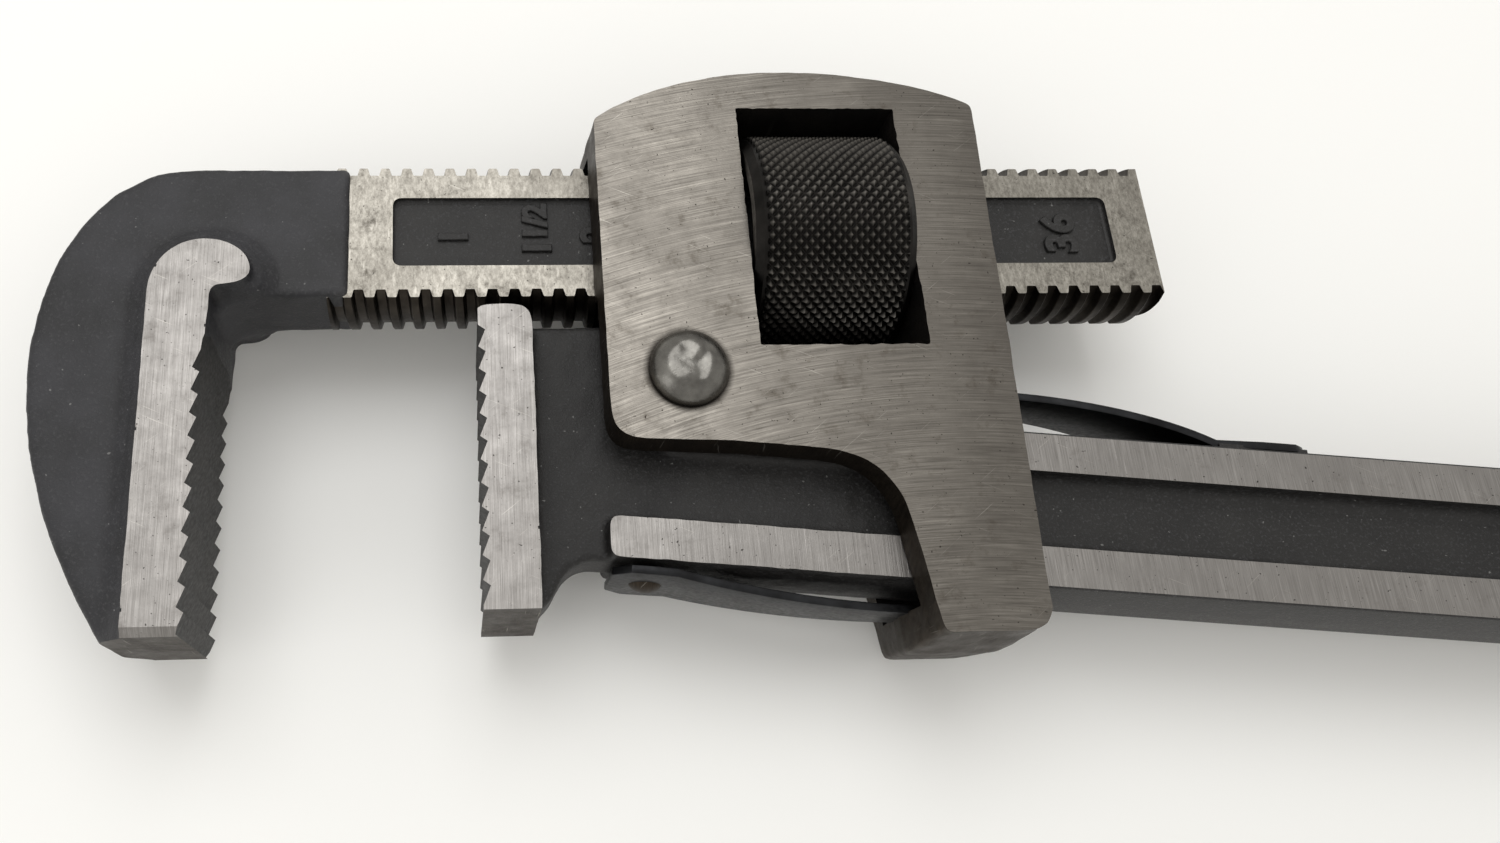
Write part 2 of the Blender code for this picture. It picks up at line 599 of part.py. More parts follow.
# ---- the wrench ---------------------------------------------------------------------------------
def main():
    clear_scene()
    forged = make_material("forged_handle_steel", (0.045, 0.046, 0.050), 0.55, 0.7)
    hook = make_material("forged_hook_steel", (0.055, 0.057, 0.062), 0.5, 0.7)
    ground = make_material("ground_frame_steel", (0.30, 0.28, 0.25), 0.38, 1.0)
    knurled = make_material("blackened_nut_steel", (0.035, 0.035, 0.036), 0.42, 0.8)
    pin_steel = make_material("rivet_steel", (0.11, 0.12, 0.13), 0.35, 0.9)
    spring_steel = make_material("spring_steel", (0.03, 0.03, 0.032), 0.4, 0.8)
    rivet_steel = make_material("small_rivet_steel", (0.05, 0.05, 0.05), 0.45, 0.8)
    pieces = {
        "handle": build_handle(forged),
        "hook_jaw": build_hook_jaw(hook),
        "frame": build_frame(ground),
        "frame_pin": build_frame_pin(pin_steel),
        "adjusting_nut": build_nut(knurled),
        "lower_leaf_spring": build_lower_spring(spring_steel),
        "upper_leaf_spring": build_upper_spring(spring_steel),
        "lower_spring_rivet": build_spring_rivet("lower_spring_rivet", LOWER_RIVET_X, False,
                                                 rivet_steel),
        "upper_spring_rivet": build_spring_rivet("upper_spring_rivet", UPPER_RIVET_X, True,
                                                 rivet_steel),
    }
    # The wrench's box, from the outermost surfaces: the hook's back, the handle's end, the
    # frame's crown and the nut's rim.
    bpy.context.view_layer.update()
    deps = bpy.context.evaluated_depsgraph_get()
    corners = []
    for piece in pieces.values():
        solid = piece.evaluated_get(deps)
        corners += [solid.matrix_world @ v.co for v in solid.data.vertices]
    low = Vector([min(c[k] for c in corners) for k in range(3)])
    high = Vector([max(c[k] for c in corners) for k in range(3)])
    wrench = bpy.data.objects.new("wrench", None)
    bpy.context.scene.collection.objects.link(wrench)
    for obj in list(bpy.context.scene.objects):
        if obj is not wrench:
            obj.parent = wrench
    wrench.location = (-(low.x + high.x) / 2, -(low.y + high.y) / 2, -low.z)
    bpy.context.view_layer.update()
    print("frame pin axis", [round(v, 6) for v in wrench.location])
    print("box", [round(v, 6) for v in high - low])


main()
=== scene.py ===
# %% [markdown]
# # A Stillson pipe wrench, forged and then machined
#
# The real wrench is made of nine pieces. The handle and the hook jaw are drop forgings: soft,
# black and rounded wherever a die shaped them, bright and crisp wherever a grinder, a mill or a
# lathe cut them afterwards. This lesson works in the same order. Each forging starts as a blank
# with generous fillets, and then planes, cutters and a screw thread machine it.

import json
import math

import bmesh
import bpy
from mathutils import Matrix, Vector, noise


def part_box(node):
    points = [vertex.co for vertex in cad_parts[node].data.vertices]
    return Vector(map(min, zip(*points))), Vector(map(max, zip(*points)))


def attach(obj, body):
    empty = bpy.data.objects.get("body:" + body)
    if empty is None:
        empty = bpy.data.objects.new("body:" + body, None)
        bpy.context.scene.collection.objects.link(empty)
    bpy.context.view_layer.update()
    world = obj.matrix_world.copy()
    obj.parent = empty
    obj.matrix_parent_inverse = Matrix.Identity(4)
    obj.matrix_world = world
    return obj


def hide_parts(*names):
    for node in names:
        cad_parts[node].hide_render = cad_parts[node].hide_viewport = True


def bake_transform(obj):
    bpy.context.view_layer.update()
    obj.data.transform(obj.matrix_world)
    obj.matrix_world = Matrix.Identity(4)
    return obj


noise.seed_set(1)          # noise_vector is otherwise seeded by the clock
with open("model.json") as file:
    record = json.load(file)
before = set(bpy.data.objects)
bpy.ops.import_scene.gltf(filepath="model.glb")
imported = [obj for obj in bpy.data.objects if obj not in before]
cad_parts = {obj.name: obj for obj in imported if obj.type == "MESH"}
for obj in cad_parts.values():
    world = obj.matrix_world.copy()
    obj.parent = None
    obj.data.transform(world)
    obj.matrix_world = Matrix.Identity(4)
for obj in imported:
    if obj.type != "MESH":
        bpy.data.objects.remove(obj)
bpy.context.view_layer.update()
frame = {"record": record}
joints = {j["name"]: j for j in frame["record"]["behaviour"]["joints"]}
PIN = Vector(joints["frame_pivot"]["pos_m"])
MM = 0.001

# %% [markdown]
# ## Sizes
#
# Every size is in millimetres from the frame pin's axis, at the wrench's middle plane, as on a
# workshop drawing. Where a CAD piece says how big something is, the size is read from its box.


# %% Sizes read from the frame
def local_box(node):
    """A CAD node's lowest and highest corners in millimetres from the pin."""
    low, high = (Vector(corner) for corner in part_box(node))
    return (low - PIN) / MM, (high - PIN) / MM


nut_low, nut_high = local_box("adjusting_nut")
frame_low, frame_high = local_box("frame")
hook_low, hook_high = local_box("hook_jaw")
handle_low, handle_high = local_box("handle")
pin_low, pin_high = local_box("frame_pin")

NUT_R = (nut_high.y - nut_low.y) / 2
SHANK_Y = (nut_high.y + nut_low.y) / 2
SHANK_LEFT, SHANK_RIGHT = -59.0, hook_high.x
FRAME_HALF = frame_high.z
JAW_HALF = hook_high.z
PIN_TOP = pin_high.z
print("nut", round(NUT_R, 2), "shank axis", round(SHANK_Y, 2), "frame half", round(FRAME_HALF, 2))

# %% Sizes of the drawing
SHANK_HALF = 7.0
THREAD_R, THREAD_DEPTH, THREAD_PITCH = 15.1, 1.35, 4.04
THREAD_TIP, THREAD_BASE = 1.5, 2.3
HOOK_HALF, WEB_HALF, RAIL_HALF = 8.0, 5.0, 9.0
HEEL_X, HOOK_X = -36.0, -83.3
HEEL_NOSE_Y, HOOK_NOSE_Y = -40.3, -43.2
TOOTH_COUNT, TOOTH_PITCH, TOOTH_DEPTH, SHORT_FLANK = 12, 4.1, 1.25, 0.9
BAR_SLOPE = math.radians(5.4)
BAR_HEIGHT, RAIL = 28.0, 7.2
EYE_R, HANG_HOLE_R = 17.0, 9.0
SPRING_THICK, SPRING_HALF, SPRING_TIP_HALF = 1.5, 8.6, 4.2
LOWER_RIVET_X, UPPER_RIVET_X, SEAT_RISE = -7.5, 104.0, 0.6
BAR_RISE = BAR_HEIGHT / math.cos(BAR_SLOPE)


def bar_bottom(x):
    """Underside of the handle's bar at x."""
    return -31.1 - math.tan(BAR_SLOPE) * (x + 14.0)


def bar_top(x):
    """Top of the handle's bar at x."""
    return bar_bottom(x) + BAR_RISE


print("bar at the frame's right side", round(bar_bottom(58.4), 2), round(bar_top(58.4), 2))

# %% [markdown]
# ## Outlines
#
# A forging die, a window or a leaf spring is a flat outline first. Three helpers draw them: an
# arc, a cubic curve and a rounded corner. A fourth walks round a finished outline in short steps
# and nudges each point a few hundredths of a millimetre, because no ground edge is truly straight.


# %% Outline helpers
def arc(cx, cy, rx, ry, start, end, steps):
    """Points on an ellipse's arc, from start to end in degrees."""
    angles = [math.radians(start + (end - start) * i / steps) for i in range(steps + 1)]
    return [(cx + rx * math.cos(a), cy + ry * math.sin(a)) for a in angles]


def curve(a, b, c, d, steps=36):
    """Points on a cubic curve from a to d with handles b and c."""
    points = []
    for i in range(steps + 1):
        t = i / steps
        w = ((1 - t) ** 3, 3 * t * (1 - t) ** 2, 3 * t * t * (1 - t), t ** 3)
        points.append(tuple(sum(k * q[n] for k, q in zip(w, (a, b, c, d))) for n in (0, 1)))
    return points


def rounded(points, radius, steps=5):
    """The outline with each corner rounded, as far as its sides allow."""
    out = []
    count = len(points)
    for i in range(count):
        p = Vector(points[i])
        u = Vector(points[i - 1]) - p
        v = Vector(points[(i + 1) % count]) - p
        reach = radius / max(math.tan(u.angle(v) / 2), 0.2)
        reach = min(reach, u.length * 0.49, v.length * 0.49)
        start, end = p + u.normalized() * reach, p + v.normalized() * reach
        for k in range(steps + 1):
            t = k / steps
            q = start * (1 - t) ** 2 + p * 2 * t * (1 - t) + end * t ** 2
            out.append((q.x, q.y))
    return out


def grown(points, distance):
    """The outline moved outwards by a distance, for one drawn anticlockwise or clockwise."""
    area = sum(a[0] * b[1] - b[0] * a[1] for a, b in zip(points, points[1:] + points[:1]))
    turn = math.copysign(distance, area)
    out = []
    for i, point in enumerate(points):
        before, after = Vector(points[i - 1]), Vector(points[(i + 1) % len(points)])
        along = (after - before).normalized()
        out.append((point[0] + along.y * turn, point[1] - along.x * turn))
    return out


def ragged(points, step, amount, seed):
    """The outline again in short steps, each moved a little by smooth noise."""
    out = []
    for a, b in zip(points, points[1:] + points[:1]):
        a, b = Vector(a), Vector(b)
        pieces = max(1, round((b - a).length / step))
        for k in range(pieces):
            q = a.lerp(b, k / pieces)
            n = noise.noise_vector(Vector((q.x / step / 1.7, q.y / step / 1.7, seed)))
            out.append((q.x + n.x * amount, q.y + n.y * amount))
    return out


print("a quarter arc has", len(arc(0, 0, 1, 1, 0, 90, 8)), "points")

# %% [markdown]
# ## From outline to solid
#
# `slab` extrudes an outline through the wrench's thickness, and `finish_piece` moves a mesh from
# the drawing's millimetres to its place in metres, so that the object itself sits at the origin,
# unturned and unscaled.


# %% Mesh helpers
def slab(points, low, high):
    """A closed outline in X and Y, extruded from low to high in Z."""
    bm = bmesh.new()
    face = bm.faces.new([bm.verts.new((x, y, low)) for x, y in points])
    moved = bmesh.ops.extrude_face_region(bm, geom=[face])
    top = [g for g in moved["geom"] if isinstance(g, bmesh.types.BMVert)]
    bmesh.ops.translate(bm, verts=top, vec=(0, 0, high - low))
    bmesh.ops.recalc_face_normals(bm, faces=bm.faces)
    return bm


def drafted(outline, least, most, half):
    """A slab whose sides lean out to the middle plane, where the dies met. outline(grow) draws
    it, with the same number of points each time."""
    base = outline(least)
    bm = bmesh.new()
    face = bm.faces.new([bm.verts.new((x, y, -half)) for x, y in base])
    edges = list(face.edges)
    for z, grow in ((0.0, most), (half, least)):
        moved = bmesh.ops.extrude_edge_only(bm, edges=edges)["geom"]
        edges = [g for g in moved if isinstance(g, bmesh.types.BMEdge)]
        before = base if z == 0.0 else outline(most)
        after = outline(grow)
        for vert in {v for e in edges for v in e.verts}:
            nearest = min(range(len(before)), key=lambda k: math.dist(before[k], vert.co.xy))
            vert.co = (*after[nearest], z)
    bmesh.ops.edgeloop_fill(bm, edges=edges)
    bmesh.ops.recalc_face_normals(bm, faces=bm.faces)
    return bm


def box_bm(x0, x1, y0, y1, z0, z1):
    return slab([(x0, y0), (x1, y0), (x1, y1), (x0, y1)], z0, z1)


def bar_bm(points, x0, x1):
    """A closed outline in Y and Z, extruded from x0 to x1."""
    bm = slab(points, x0, x1)
    swap = Matrix(((0, 0, 1, 0), (1, 0, 0, 0), (0, 1, 0, 0), (0, 0, 0, 1)))
    bmesh.ops.transform(bm, matrix=swap, verts=bm.verts)
    return bm


def turned(profile, centre, axis, steps):
    """(along, radius) pairs spun about an axis; both ends lie on the axis."""
    bm = bmesh.new()
    verts = [bm.verts.new((r, 0, a)) for a, r in profile]
    edges = [bm.edges.new(pair) for pair in zip(verts, verts[1:])]
    bmesh.ops.spin(bm, geom=verts + edges, cent=(0, 0, 0), axis=(0, 0, 1), angle=2 * math.pi,
                   steps=steps, use_merge=True)
    bmesh.ops.remove_doubles(bm, verts=bm.verts, dist=0.0005)
    turn = Vector((0, 0, 1)).rotation_difference(Vector(axis)).to_matrix().to_4x4()
    bmesh.ops.transform(bm, matrix=Matrix.Translation(centre) @ turn, verts=bm.verts)
    bmesh.ops.recalc_face_normals(bm, faces=bm.faces)
    return bm


def to_object(name, bm, *materials):
    """An object in the drawing's millimetres, still to be machined."""
    mesh = bpy.data.meshes.new(name)
    bm.to_mesh(mesh)
    bm.free()
    obj = bpy.data.objects.new(name, mesh)
    bpy.context.scene.collection.objects.link(obj)
    for material in materials:
        mesh.materials.append(material)
    return obj


def apply_modifiers(obj):
    """Bakes an object's modifiers into its mesh."""
    deps = bpy.context.evaluated_depsgraph_get()
    mesh = bpy.data.meshes.new_from_object(obj.evaluated_get(deps))
    old = obj.data
    obj.modifiers.clear()
    obj.data = mesh
    bpy.data.meshes.remove(old)


def machine(obj, tool, material=None, operation="DIFFERENCE"):
    """Cuts or joins a bmesh tool; the cut faces take the tool's material."""
    cutter = to_object("tool", tool)
    if material:
        cutter.data.materials.append(material)
    mod = obj.modifiers.new("cut", "BOOLEAN")
    mod.operation = operation
    mod.solver = "EXACT"
    mod.material_mode = "TRANSFER"
    mod.object = cutter
    apply_modifiers(obj)
    bpy.data.objects.remove(cutter)


def forge(name, slabs, voxel, rounds, *materials):
    """Joins overlapping slabs into one skin, softens it as a die does, and pits it with scale."""
    blank = bmesh.new()
    for tool in slabs:
        part = bpy.data.meshes.new("part")
        tool.to_mesh(part)
        tool.free()
        blank.from_mesh(part)
        bpy.data.meshes.remove(part)
    obj = to_object(name, blank, *materials)
    for stage, iterations in (("die radii", rounds), ("scale", 2)):
        remesh = obj.modifiers.new("one skin", "REMESH")
        remesh.mode = "VOXEL"
        remesh.voxel_size = voxel
        smooth = obj.modifiers.new(stage, "SMOOTH")
        smooth.factor = 0.5
        smooth.iterations = iterations
        apply_modifiers(obj)
        if stage == "die radii":
            normals = [v.normal.copy() for v in obj.data.vertices]
            for vert, normal in zip(obj.data.vertices, normals):
                swell = noise.noise(vert.co / 5.0) * 0.12 + noise.noise(vert.co / 1.9) * 0.10
                vert.co = vert.co + normal * (swell - 0.05)
    store_relief(obj, voxel * 0.2, 6)
    return obj


def finish_piece(obj, body, *nodes, crease=30.0):
    """Moves a piece from the drawing to its place, shades it, and ties it to its CAD body."""
    mesh = obj.data
    mesh.transform(Matrix.Translation(PIN) @ Matrix.Scale(MM, 4))
    mesh.shade_smooth()
    mesh.set_sharp_from_angle(angle=math.radians(crease))
    for face in mesh.polygons:
        if abs(face.normal.z) > 0.9999 and face.area > 4 * MM * MM:
            face.use_smooth = False  # a ground face takes no slant from its broken edge
    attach(obj, body)
    if nodes:
        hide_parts(*nodes)
    print(obj.name, len(mesh.vertices), "vertices")
    return obj


# %% [markdown]
# ## Finishes
#
# One function adds a node with its settings and its links. Another turns sRGB hex values, which
# are what a colour picker shows, into the linear values that a shader works in. Every pattern is
# laid out in real millimetres: the object coordinates are in metres, so they are scaled by 1000.


# %% Shader helpers
def srgb(code):
    """An sRGB hex colour as linear RGBA."""
    channels = [int(code[i:i + 2], 16) / 255 for i in (1, 3, 5)]
    linear = [c / 12.92 if c <= 0.04045 else ((c + 0.055) / 1.055) ** 2.4 for c in channels]
    return (*linear, 1.0)


def add(tree, kind, inputs=None, **settings):
    """Adds a node. Inputs are values or (node, output name) links; settings are its options."""
    node = tree.nodes.new("ShaderNode" + kind)
    for key, value in settings.items():
        setattr(node, key, value)
    for key, value in (inputs or {}).items():
        if isinstance(value, tuple) and len(value) == 2 and isinstance(value[0], bpy.types.Node):
            tree.links.new(value[0].outputs[value[1]], node.inputs[key])
        else:
            node.inputs[key].default_value = value
    return node


def ramp(tree, factor, stops):
    """A colour ramp from (position, hex) stops."""
    node = add(tree, "ValToRGB", {"Fac": factor})
    elements = node.color_ramp.elements
    while len(elements) < len(stops):
        elements.new(0.5)
    for element, (place, code) in zip(elements, stops):
        element.position = place
        element.color = srgb(code)
    return node


def start_material(name, metallic, roughness):
    """A Principled material with its pattern coordinates in millimetres from the pin."""
    mat = bpy.data.materials.new(name)
    mat.use_nodes = True
    tree = mat.node_tree
    shader = tree.nodes["Principled BSDF"]
    shader.inputs["Metallic"].default_value = metallic
    shader.inputs["Roughness"].default_value = roughness
    place = add(tree, "TexCoord")
    centred = add(tree, "VectorMath", {0: (place, "Object"), 1: tuple(PIN)}, operation="SUBTRACT")
    scaled = add(tree, "VectorMath", {0: (centred, "Vector"), "Scale": 1 / MM}, operation="SCALE")
    return mat, tree, shader, (scaled, "Vector")


def speckle(tree, coords, size, detail=3.0, roughness=0.55):
    """Noise whose blotches are about size millimetres across."""
    return add(tree, "TexNoise", {"Vector": coords, "Scale": 1 / size, "Detail": detail,
                                  "Roughness": roughness})


def stretched(tree, coords, sizes):
    """Coordinates squeezed so that noise of scale 1 gets these sizes along X, Y and Z."""
    scale = tuple(1 / s for s in sizes)
    return add(tree, "VectorMath", {0: coords, 1: scale}, operation="MULTIPLY"), "Vector"


def blend_colors(tree, factor, a, b, kind="MIX"):
    """Mixes two colours, each a hex value or a link."""
    node = add(tree, "Mix", data_type="RGBA", blend_type=kind)
    for socket, value in ((node.inputs[0], factor), (node.inputs[6], a), (node.inputs[7], b)):
        if isinstance(value, tuple) and isinstance(value[0], bpy.types.Node):
            tree.links.new(value[0].outputs[value[1]], socket)
        elif isinstance(value, str):
            socket.default_value = srgb(value)
        else:
            socket.default_value = value
    return node


def remap(tree, value, low, high, to_low=0.0, to_high=1.0):
    """A value's range moved to another, clamped."""
    return add(tree, "MapRange", {"Value": value, "From Min": low, "From Max": high,
                                  "To Min": to_low, "To Max": to_high})


def bump(tree, shader, layers):
    """Chains bump layers of (height link, depth in millimetres) into the shader's normal."""
    normal = None
    for height, depth in layers:
        inputs = {"Height": height, "Distance": depth * MM}
        if normal:
            inputs["Normal"] = (normal, "Normal")
        normal = add(tree, "Bump", inputs)
    tree.links.new(normal.outputs["Normal"], shader.inputs["Normal"])


# %% [markdown]
# ### Black forged steel
#
# A drop forging keeps a skin of scale, blackened with a thin paint. It is dark and half matt, a
# little uneven in tone, with fine grit that the die pressed into it and lighter rubs where the
# wrench has been knocked.


# %% Forged steel
def forged_steel(name, dark, light, rough):
    """Blackened scale: cloudy tone, fine grit, pale specks, painted shade in hollows and worn corners.
    """
    mat, tree, shader, coords = start_material(name, 0.0, rough)
    shader.inputs["Specular IOR Level"].default_value = 0.38
    cloud = speckle(tree, coords, 12.0, 6.0, 0.6)
    grit = speckle(tree, coords, 0.55, 4.0, 0.7)
    specks = speckle(tree, coords, 0.9, 1.0)
    relief = add(tree, "Attribute", attribute_name="relief")
    tone = ramp(tree, (cloud, "Fac"), [(0.32, dark), (0.70, light)])
    mottle = remap(tree, (grit, "Fac"), 0.52, 0.72, 0.0, 0.55)
    tone = blend_colors(tree, (mottle, "Result"), (tone, "Color"), "#505052")
    # Painted shade: where the relief is sunk, as in the fillets round the pads, the tone goes near
    # black.
    hollow = remap(tree, (relief, "Fac"), -0.08, -0.5, 0.0, 0.85)
    tone = blend_colors(tree, (hollow, "Result"), (tone, "Result"), "#120f0d")
    corner = remap(tree, (relief, "Fac"), 0.25, 0.9, 0.0, 0.45)
    rubbed = add(tree, "Math", {0: (corner, "Result"), 1: (grit, "Fac")}, operation="MULTIPLY")
    tone = blend_colors(tree, (rubbed, "Value"), (tone, "Result"), "#8f8c88")
    dot = remap(tree, (specks, "Fac"), 0.765, 0.79, 0.0, 0.5)
    tone = blend_colors(tree, (dot, "Result"), (tone, "Result"), "#8a8a88")
    tree.links.new(tone.outputs["Result"], shader.inputs["Base Color"])
    gloss = remap(tree, (grit, "Fac"), 0.3, 0.7, rough - 0.10, rough + 0.14)
    tree.links.new(gloss.outputs["Result"], shader.inputs["Roughness"])
    bump(tree, shader, [((cloud, "Fac"), 0.30), ((grit, "Fac"), 0.11)])
    return mat


black_forging = forged_steel("black_forged_steel", "#151414", "#222120", 0.50)
blue_forging = forged_steel("blue_black_forged_steel", "#1c1c1e", "#2d2d31", 0.47)
print(black_forging.name, blue_forging.name)

# %% [markdown]
# ### Ground steel
#
# A surface grinder's wheel sweeps across the work in arcs, so its marks are parallel, slightly
# curved lines a few tenths of a millimetre wide and some centimetres long. Polar coordinates
# about the wheel's centre give the arcs: noise that is fine along the radius and long along the
# arc draws the lines. Handling leaves brown stains and small dark pits.


# %% Ground steel
def wheel_lines(tree, coords, centre, width, length, seed):
    """Noise drawn out along arcs about a wheel's centre, in millimetres."""
    offset = add(tree, "VectorMath", {0: coords, 1: centre}, operation="SUBTRACT")
    flat = add(tree, "VectorMath", {0: (offset, "Vector"), 1: (1.0, 1.0, 0.0)},
               operation="MULTIPLY")
    radius = add(tree, "VectorMath", {0: (flat, "Vector")}, operation="LENGTH")
    parts = add(tree, "SeparateXYZ", {"Vector": (offset, "Vector")})
    angle = add(tree, "Math", {0: (parts, "X"), 1: (parts, "Y")}, operation="ARCTAN2")
    across = add(tree, "Math", {0: (radius, "Value"), 1: width}, operation="DIVIDE")
    along = add(tree, "Math", {0: (angle, "Value"), 1: Vector(centre).length / length},
                operation="MULTIPLY")
    joined = add(tree, "CombineXYZ", {"X": (across, "Value"), "Y": (along, "Value"), "Z": seed})
    return add(tree, "TexNoise", {"Vector": (joined, "Vector"), "Scale": 1.0, "Detail": 3.0,
                                  "Roughness": 0.6})


def scratches(tree, coords, angle, seed):
    """Thin long lines at an angle to X in degrees, as a mask from 0 to 1."""
    turned_coords = add(tree, "VectorRotate", {"Vector": coords, "Angle": math.radians(angle)},
                        rotation_type="Z_AXIS")
    moved = add(tree, "VectorMath", {0: (turned_coords, "Vector"), 1: (seed, seed, 0.0)},
                operation="ADD")
    line = add(tree, "TexNoise", {"Vector": stretched(tree, (moved, "Vector"), (9.0, 0.16, 9.0)),
                                  "Scale": 1.0, "Detail": 1.0})
    return remap(tree, (line, "Fac"), 0.74, 0.80, 0.0, 1.0)


def ground_steel(name, dark, light, rough, lines, stain="#4d453b", stain_share=0.5, ring=0.0,
                 painted_shade_right=0.0):
    """Steel with grinding lines, cloudy tone, scratches, stains, pits, a painted highlight on broken
    edges, optional painted shade towards larger X and an optional dark ring round the pin.
    """
    mat, tree, shader, coords = start_material(name, 1.0, rough)
    fine, coarse = lines(tree, coords)
    cloud = speckle(tree, coords, 17.0, 6.0, 0.62)
    smudge = speckle(tree, coords, 4.5, 8.0, 0.72)
    pits = speckle(tree, coords, 0.55, 1.0)
    tone = ramp(tree, (fine, "Fac"), [(0.26, dark), (0.74, light)])
    wide = remap(tree, (cloud, "Fac"), 0.36, 0.64, 0.0, 0.45)
    tone = blend_colors(tree, (wide, "Result"), (tone, "Color"), dark)
    deep = remap(tree, (coarse, "Fac"), 0.58, 0.70, 0.0, 0.35)
    tone = blend_colors(tree, (deep, "Result"), (tone, "Result"), dark)
    bright = remap(tree, (coarse, "Fac"), 0.40, 0.30, 0.0, 0.6)
    tone = blend_colors(tree, (bright, "Result"), (tone, "Result"), light)
    patch = remap(tree, (smudge, "Fac"), 0.56, 0.70, 0.0, stain_share)
    tone = blend_colors(tree, (patch, "Result"), (tone, "Result"), stain)
    for angle, seed in ((24.0, 3.0), (-38.0, 51.0)):
        mask = scratches(tree, coords, angle, seed)
        faint = add(tree, "Math", {0: (mask, "Result"), 1: 0.45}, operation="MULTIPLY")
        tone = blend_colors(tree, (faint, "Value"), (tone, "Result"), "#c4c0b8")
    pit = remap(tree, (pits, "Fac"), 0.735, 0.765, 0.0, 0.85)
    tone = blend_colors(tree, (pit, "Result"), (tone, "Result"), "#1d1916")
    # Painted highlight: the broken edges, where the relief is high, are lightened.
    highlight_relief = add(tree, "Attribute", attribute_name="relief")
    edge = remap(tree, (highlight_relief, "Fac"), 0.2, 0.8, 0.0, 0.55)
    tone = blend_colors(tree, (edge, "Result"), (tone, "Result"), "#bdb9b2")
    if painted_shade_right:
        # Painted shade: the face darkens towards larger X, away from the key light on the left.
        place = add(tree, "SeparateXYZ", {"Vector": coords})
        painted_shade_ramp = remap(tree, (place, "X"), 5.0, 58.0, 0.0, painted_shade_right)
        tone = blend_colors(tree, (painted_shade_ramp, "Result"), (tone, "Result"), "#3f3b37")
    if ring:
        # Darker in a band just outside the given radius round the pin's axis.
        flat = add(tree, "VectorMath", {0: coords, 1: (1.0, 1.0, 0.0)}, operation="MULTIPLY")
        radius = add(tree, "VectorMath", {0: (flat, "Vector")}, operation="LENGTH")
        pin_ring_dark = remap(tree, (radius, "Value"), ring + 1.1, ring, 0.0, 0.9)
        tone = blend_colors(tree, (pin_ring_dark, "Result"), (tone, "Result"), "#16120f")
    tree.links.new(tone.outputs["Result"], shader.inputs["Base Color"])
    gloss = remap(tree, (smudge, "Fac"), 0.3, 0.7, rough - 0.07, rough + 0.14)
    tree.links.new(gloss.outputs["Result"], shader.inputs["Roughness"])
    bump(tree, shader, [((fine, "Fac"), 0.020), ((coarse, "Fac"), 0.05), ((smudge, "Fac"), 0.04)])
    return mat


def frame_lines(tree, coords):
    centre = (45.0, -150.0, 0.0)
    return (wheel_lines(tree, coords, centre, 0.24, 14.0, 0.0),
            wheel_lines(tree, coords, centre, 0.75, 26.0, 7.0))


def upright_lines(tree, coords):
    fine = add(tree, "TexNoise", {"Vector": stretched(tree, coords, (0.16, 9.0, 3.0)),
                                  "Scale": 1.0, "Detail": 2.0, "Roughness": 0.6})
    coarse = add(tree, "TexNoise", {"Vector": stretched(tree, coords, (0.7, 16.0, 3.0)),
                                    "Scale": 1.0, "Detail": 4.0, "Roughness": 0.6})
    return fine, coarse


def blotchy_lines(tree, coords):
    fine = add(tree, "TexNoise", {"Vector": stretched(tree, coords, (0.5, 1.1, 2.0)), "Scale": 1.0,
                                  "Detail": 6.0, "Roughness": 0.75})
    coarse = add(tree, "TexNoise", {"Vector": stretched(tree, coords, (1.6, 6.0, 3.0)),
                                    "Scale": 1.0, "Detail": 4.0, "Roughness": 0.6})
    return fine, coarse


# The frame's face gets painted shade towards larger X.
frame_steel = ground_steel("wheel_ground_steel", "#605c57", "#a09b93", 0.34, frame_lines, ring=7.0,
                           painted_shade_right=0.5)
pad_steel = ground_steel("ground_jaw_steel", "#7b7875", "#a19e9b", 0.36, upright_lines,
                         "#5b554f", 0.30)
shank_steel = ground_steel("polished_shank_steel", "#5f5b54", "#b9b5ac", 0.33, blotchy_lines,
                           "#3a342d", 0.75)
nose_steel = ground_steel("brown_sawn_steel", "#2c2722", "#453e36", 0.46, upright_lines,
                          "#1f1a16", 0.6)
print(frame_steel.name, pad_steel.name, shank_steel.name, nose_steel.name)

# %% [markdown]
# ### Cut steel, spring steel and the pin's steel
#
# Teeth and threads are cut and then left oily, so they are dark with a soft shine. Leaf springs
# are blackened by their hardening bath. The pin is a dark bar end, hammered bright on top.


# %% Dark steels
def dark_steel(name, color, light, rough, metallic=1.0, grain=0.8):
    mat, tree, shader, coords = start_material(name, metallic, rough)
    cloud = speckle(tree, coords, 6.0, 4.0)
    grit = speckle(tree, coords, grain, 3.0, 0.6)
    tone = ramp(tree, (cloud, "Fac"), [(0.35, color), (0.7, light)])
    worn = add(tree, "Attribute", attribute_name="relief")
    edge = remap(tree, (worn, "Fac"), 0.1, 1.0, 0.0, 0.7)
    tone = blend_colors(tree, (edge, "Result"), (tone, "Color"), "#85817b")
    tree.links.new(tone.outputs["Result"], shader.inputs["Base Color"])
    gloss = remap(tree, (grit, "Fac"), 0.3, 0.7, rough - 0.06, rough + 0.10)
    tree.links.new(gloss.outputs["Result"], shader.inputs["Roughness"])
    bump(tree, shader, [((cloud, "Fac"), 0.06), ((grit, "Fac"), 0.03)])
    return mat


tooth_steel = dark_steel("oiled_cut_steel", "#0c0a09", "#1b1714", 0.50, 0.4)
thread_steel = dark_steel("oiled_thread_steel", "#25211d", "#45403a", 0.40)
nut_steel = dark_steel("blackened_knurled_steel", "#1f1e1d", "#302e2c", 0.38)
spring_steel = dark_steel("black_tempered_steel", "#222223", "#37383a", 0.36)
pin_steel = dark_steel("hammered_pin_steel", "#54524f", "#86847f", 0.27)
print("dark steels:", tooth_steel.name, spring_steel.name, pin_steel.name)


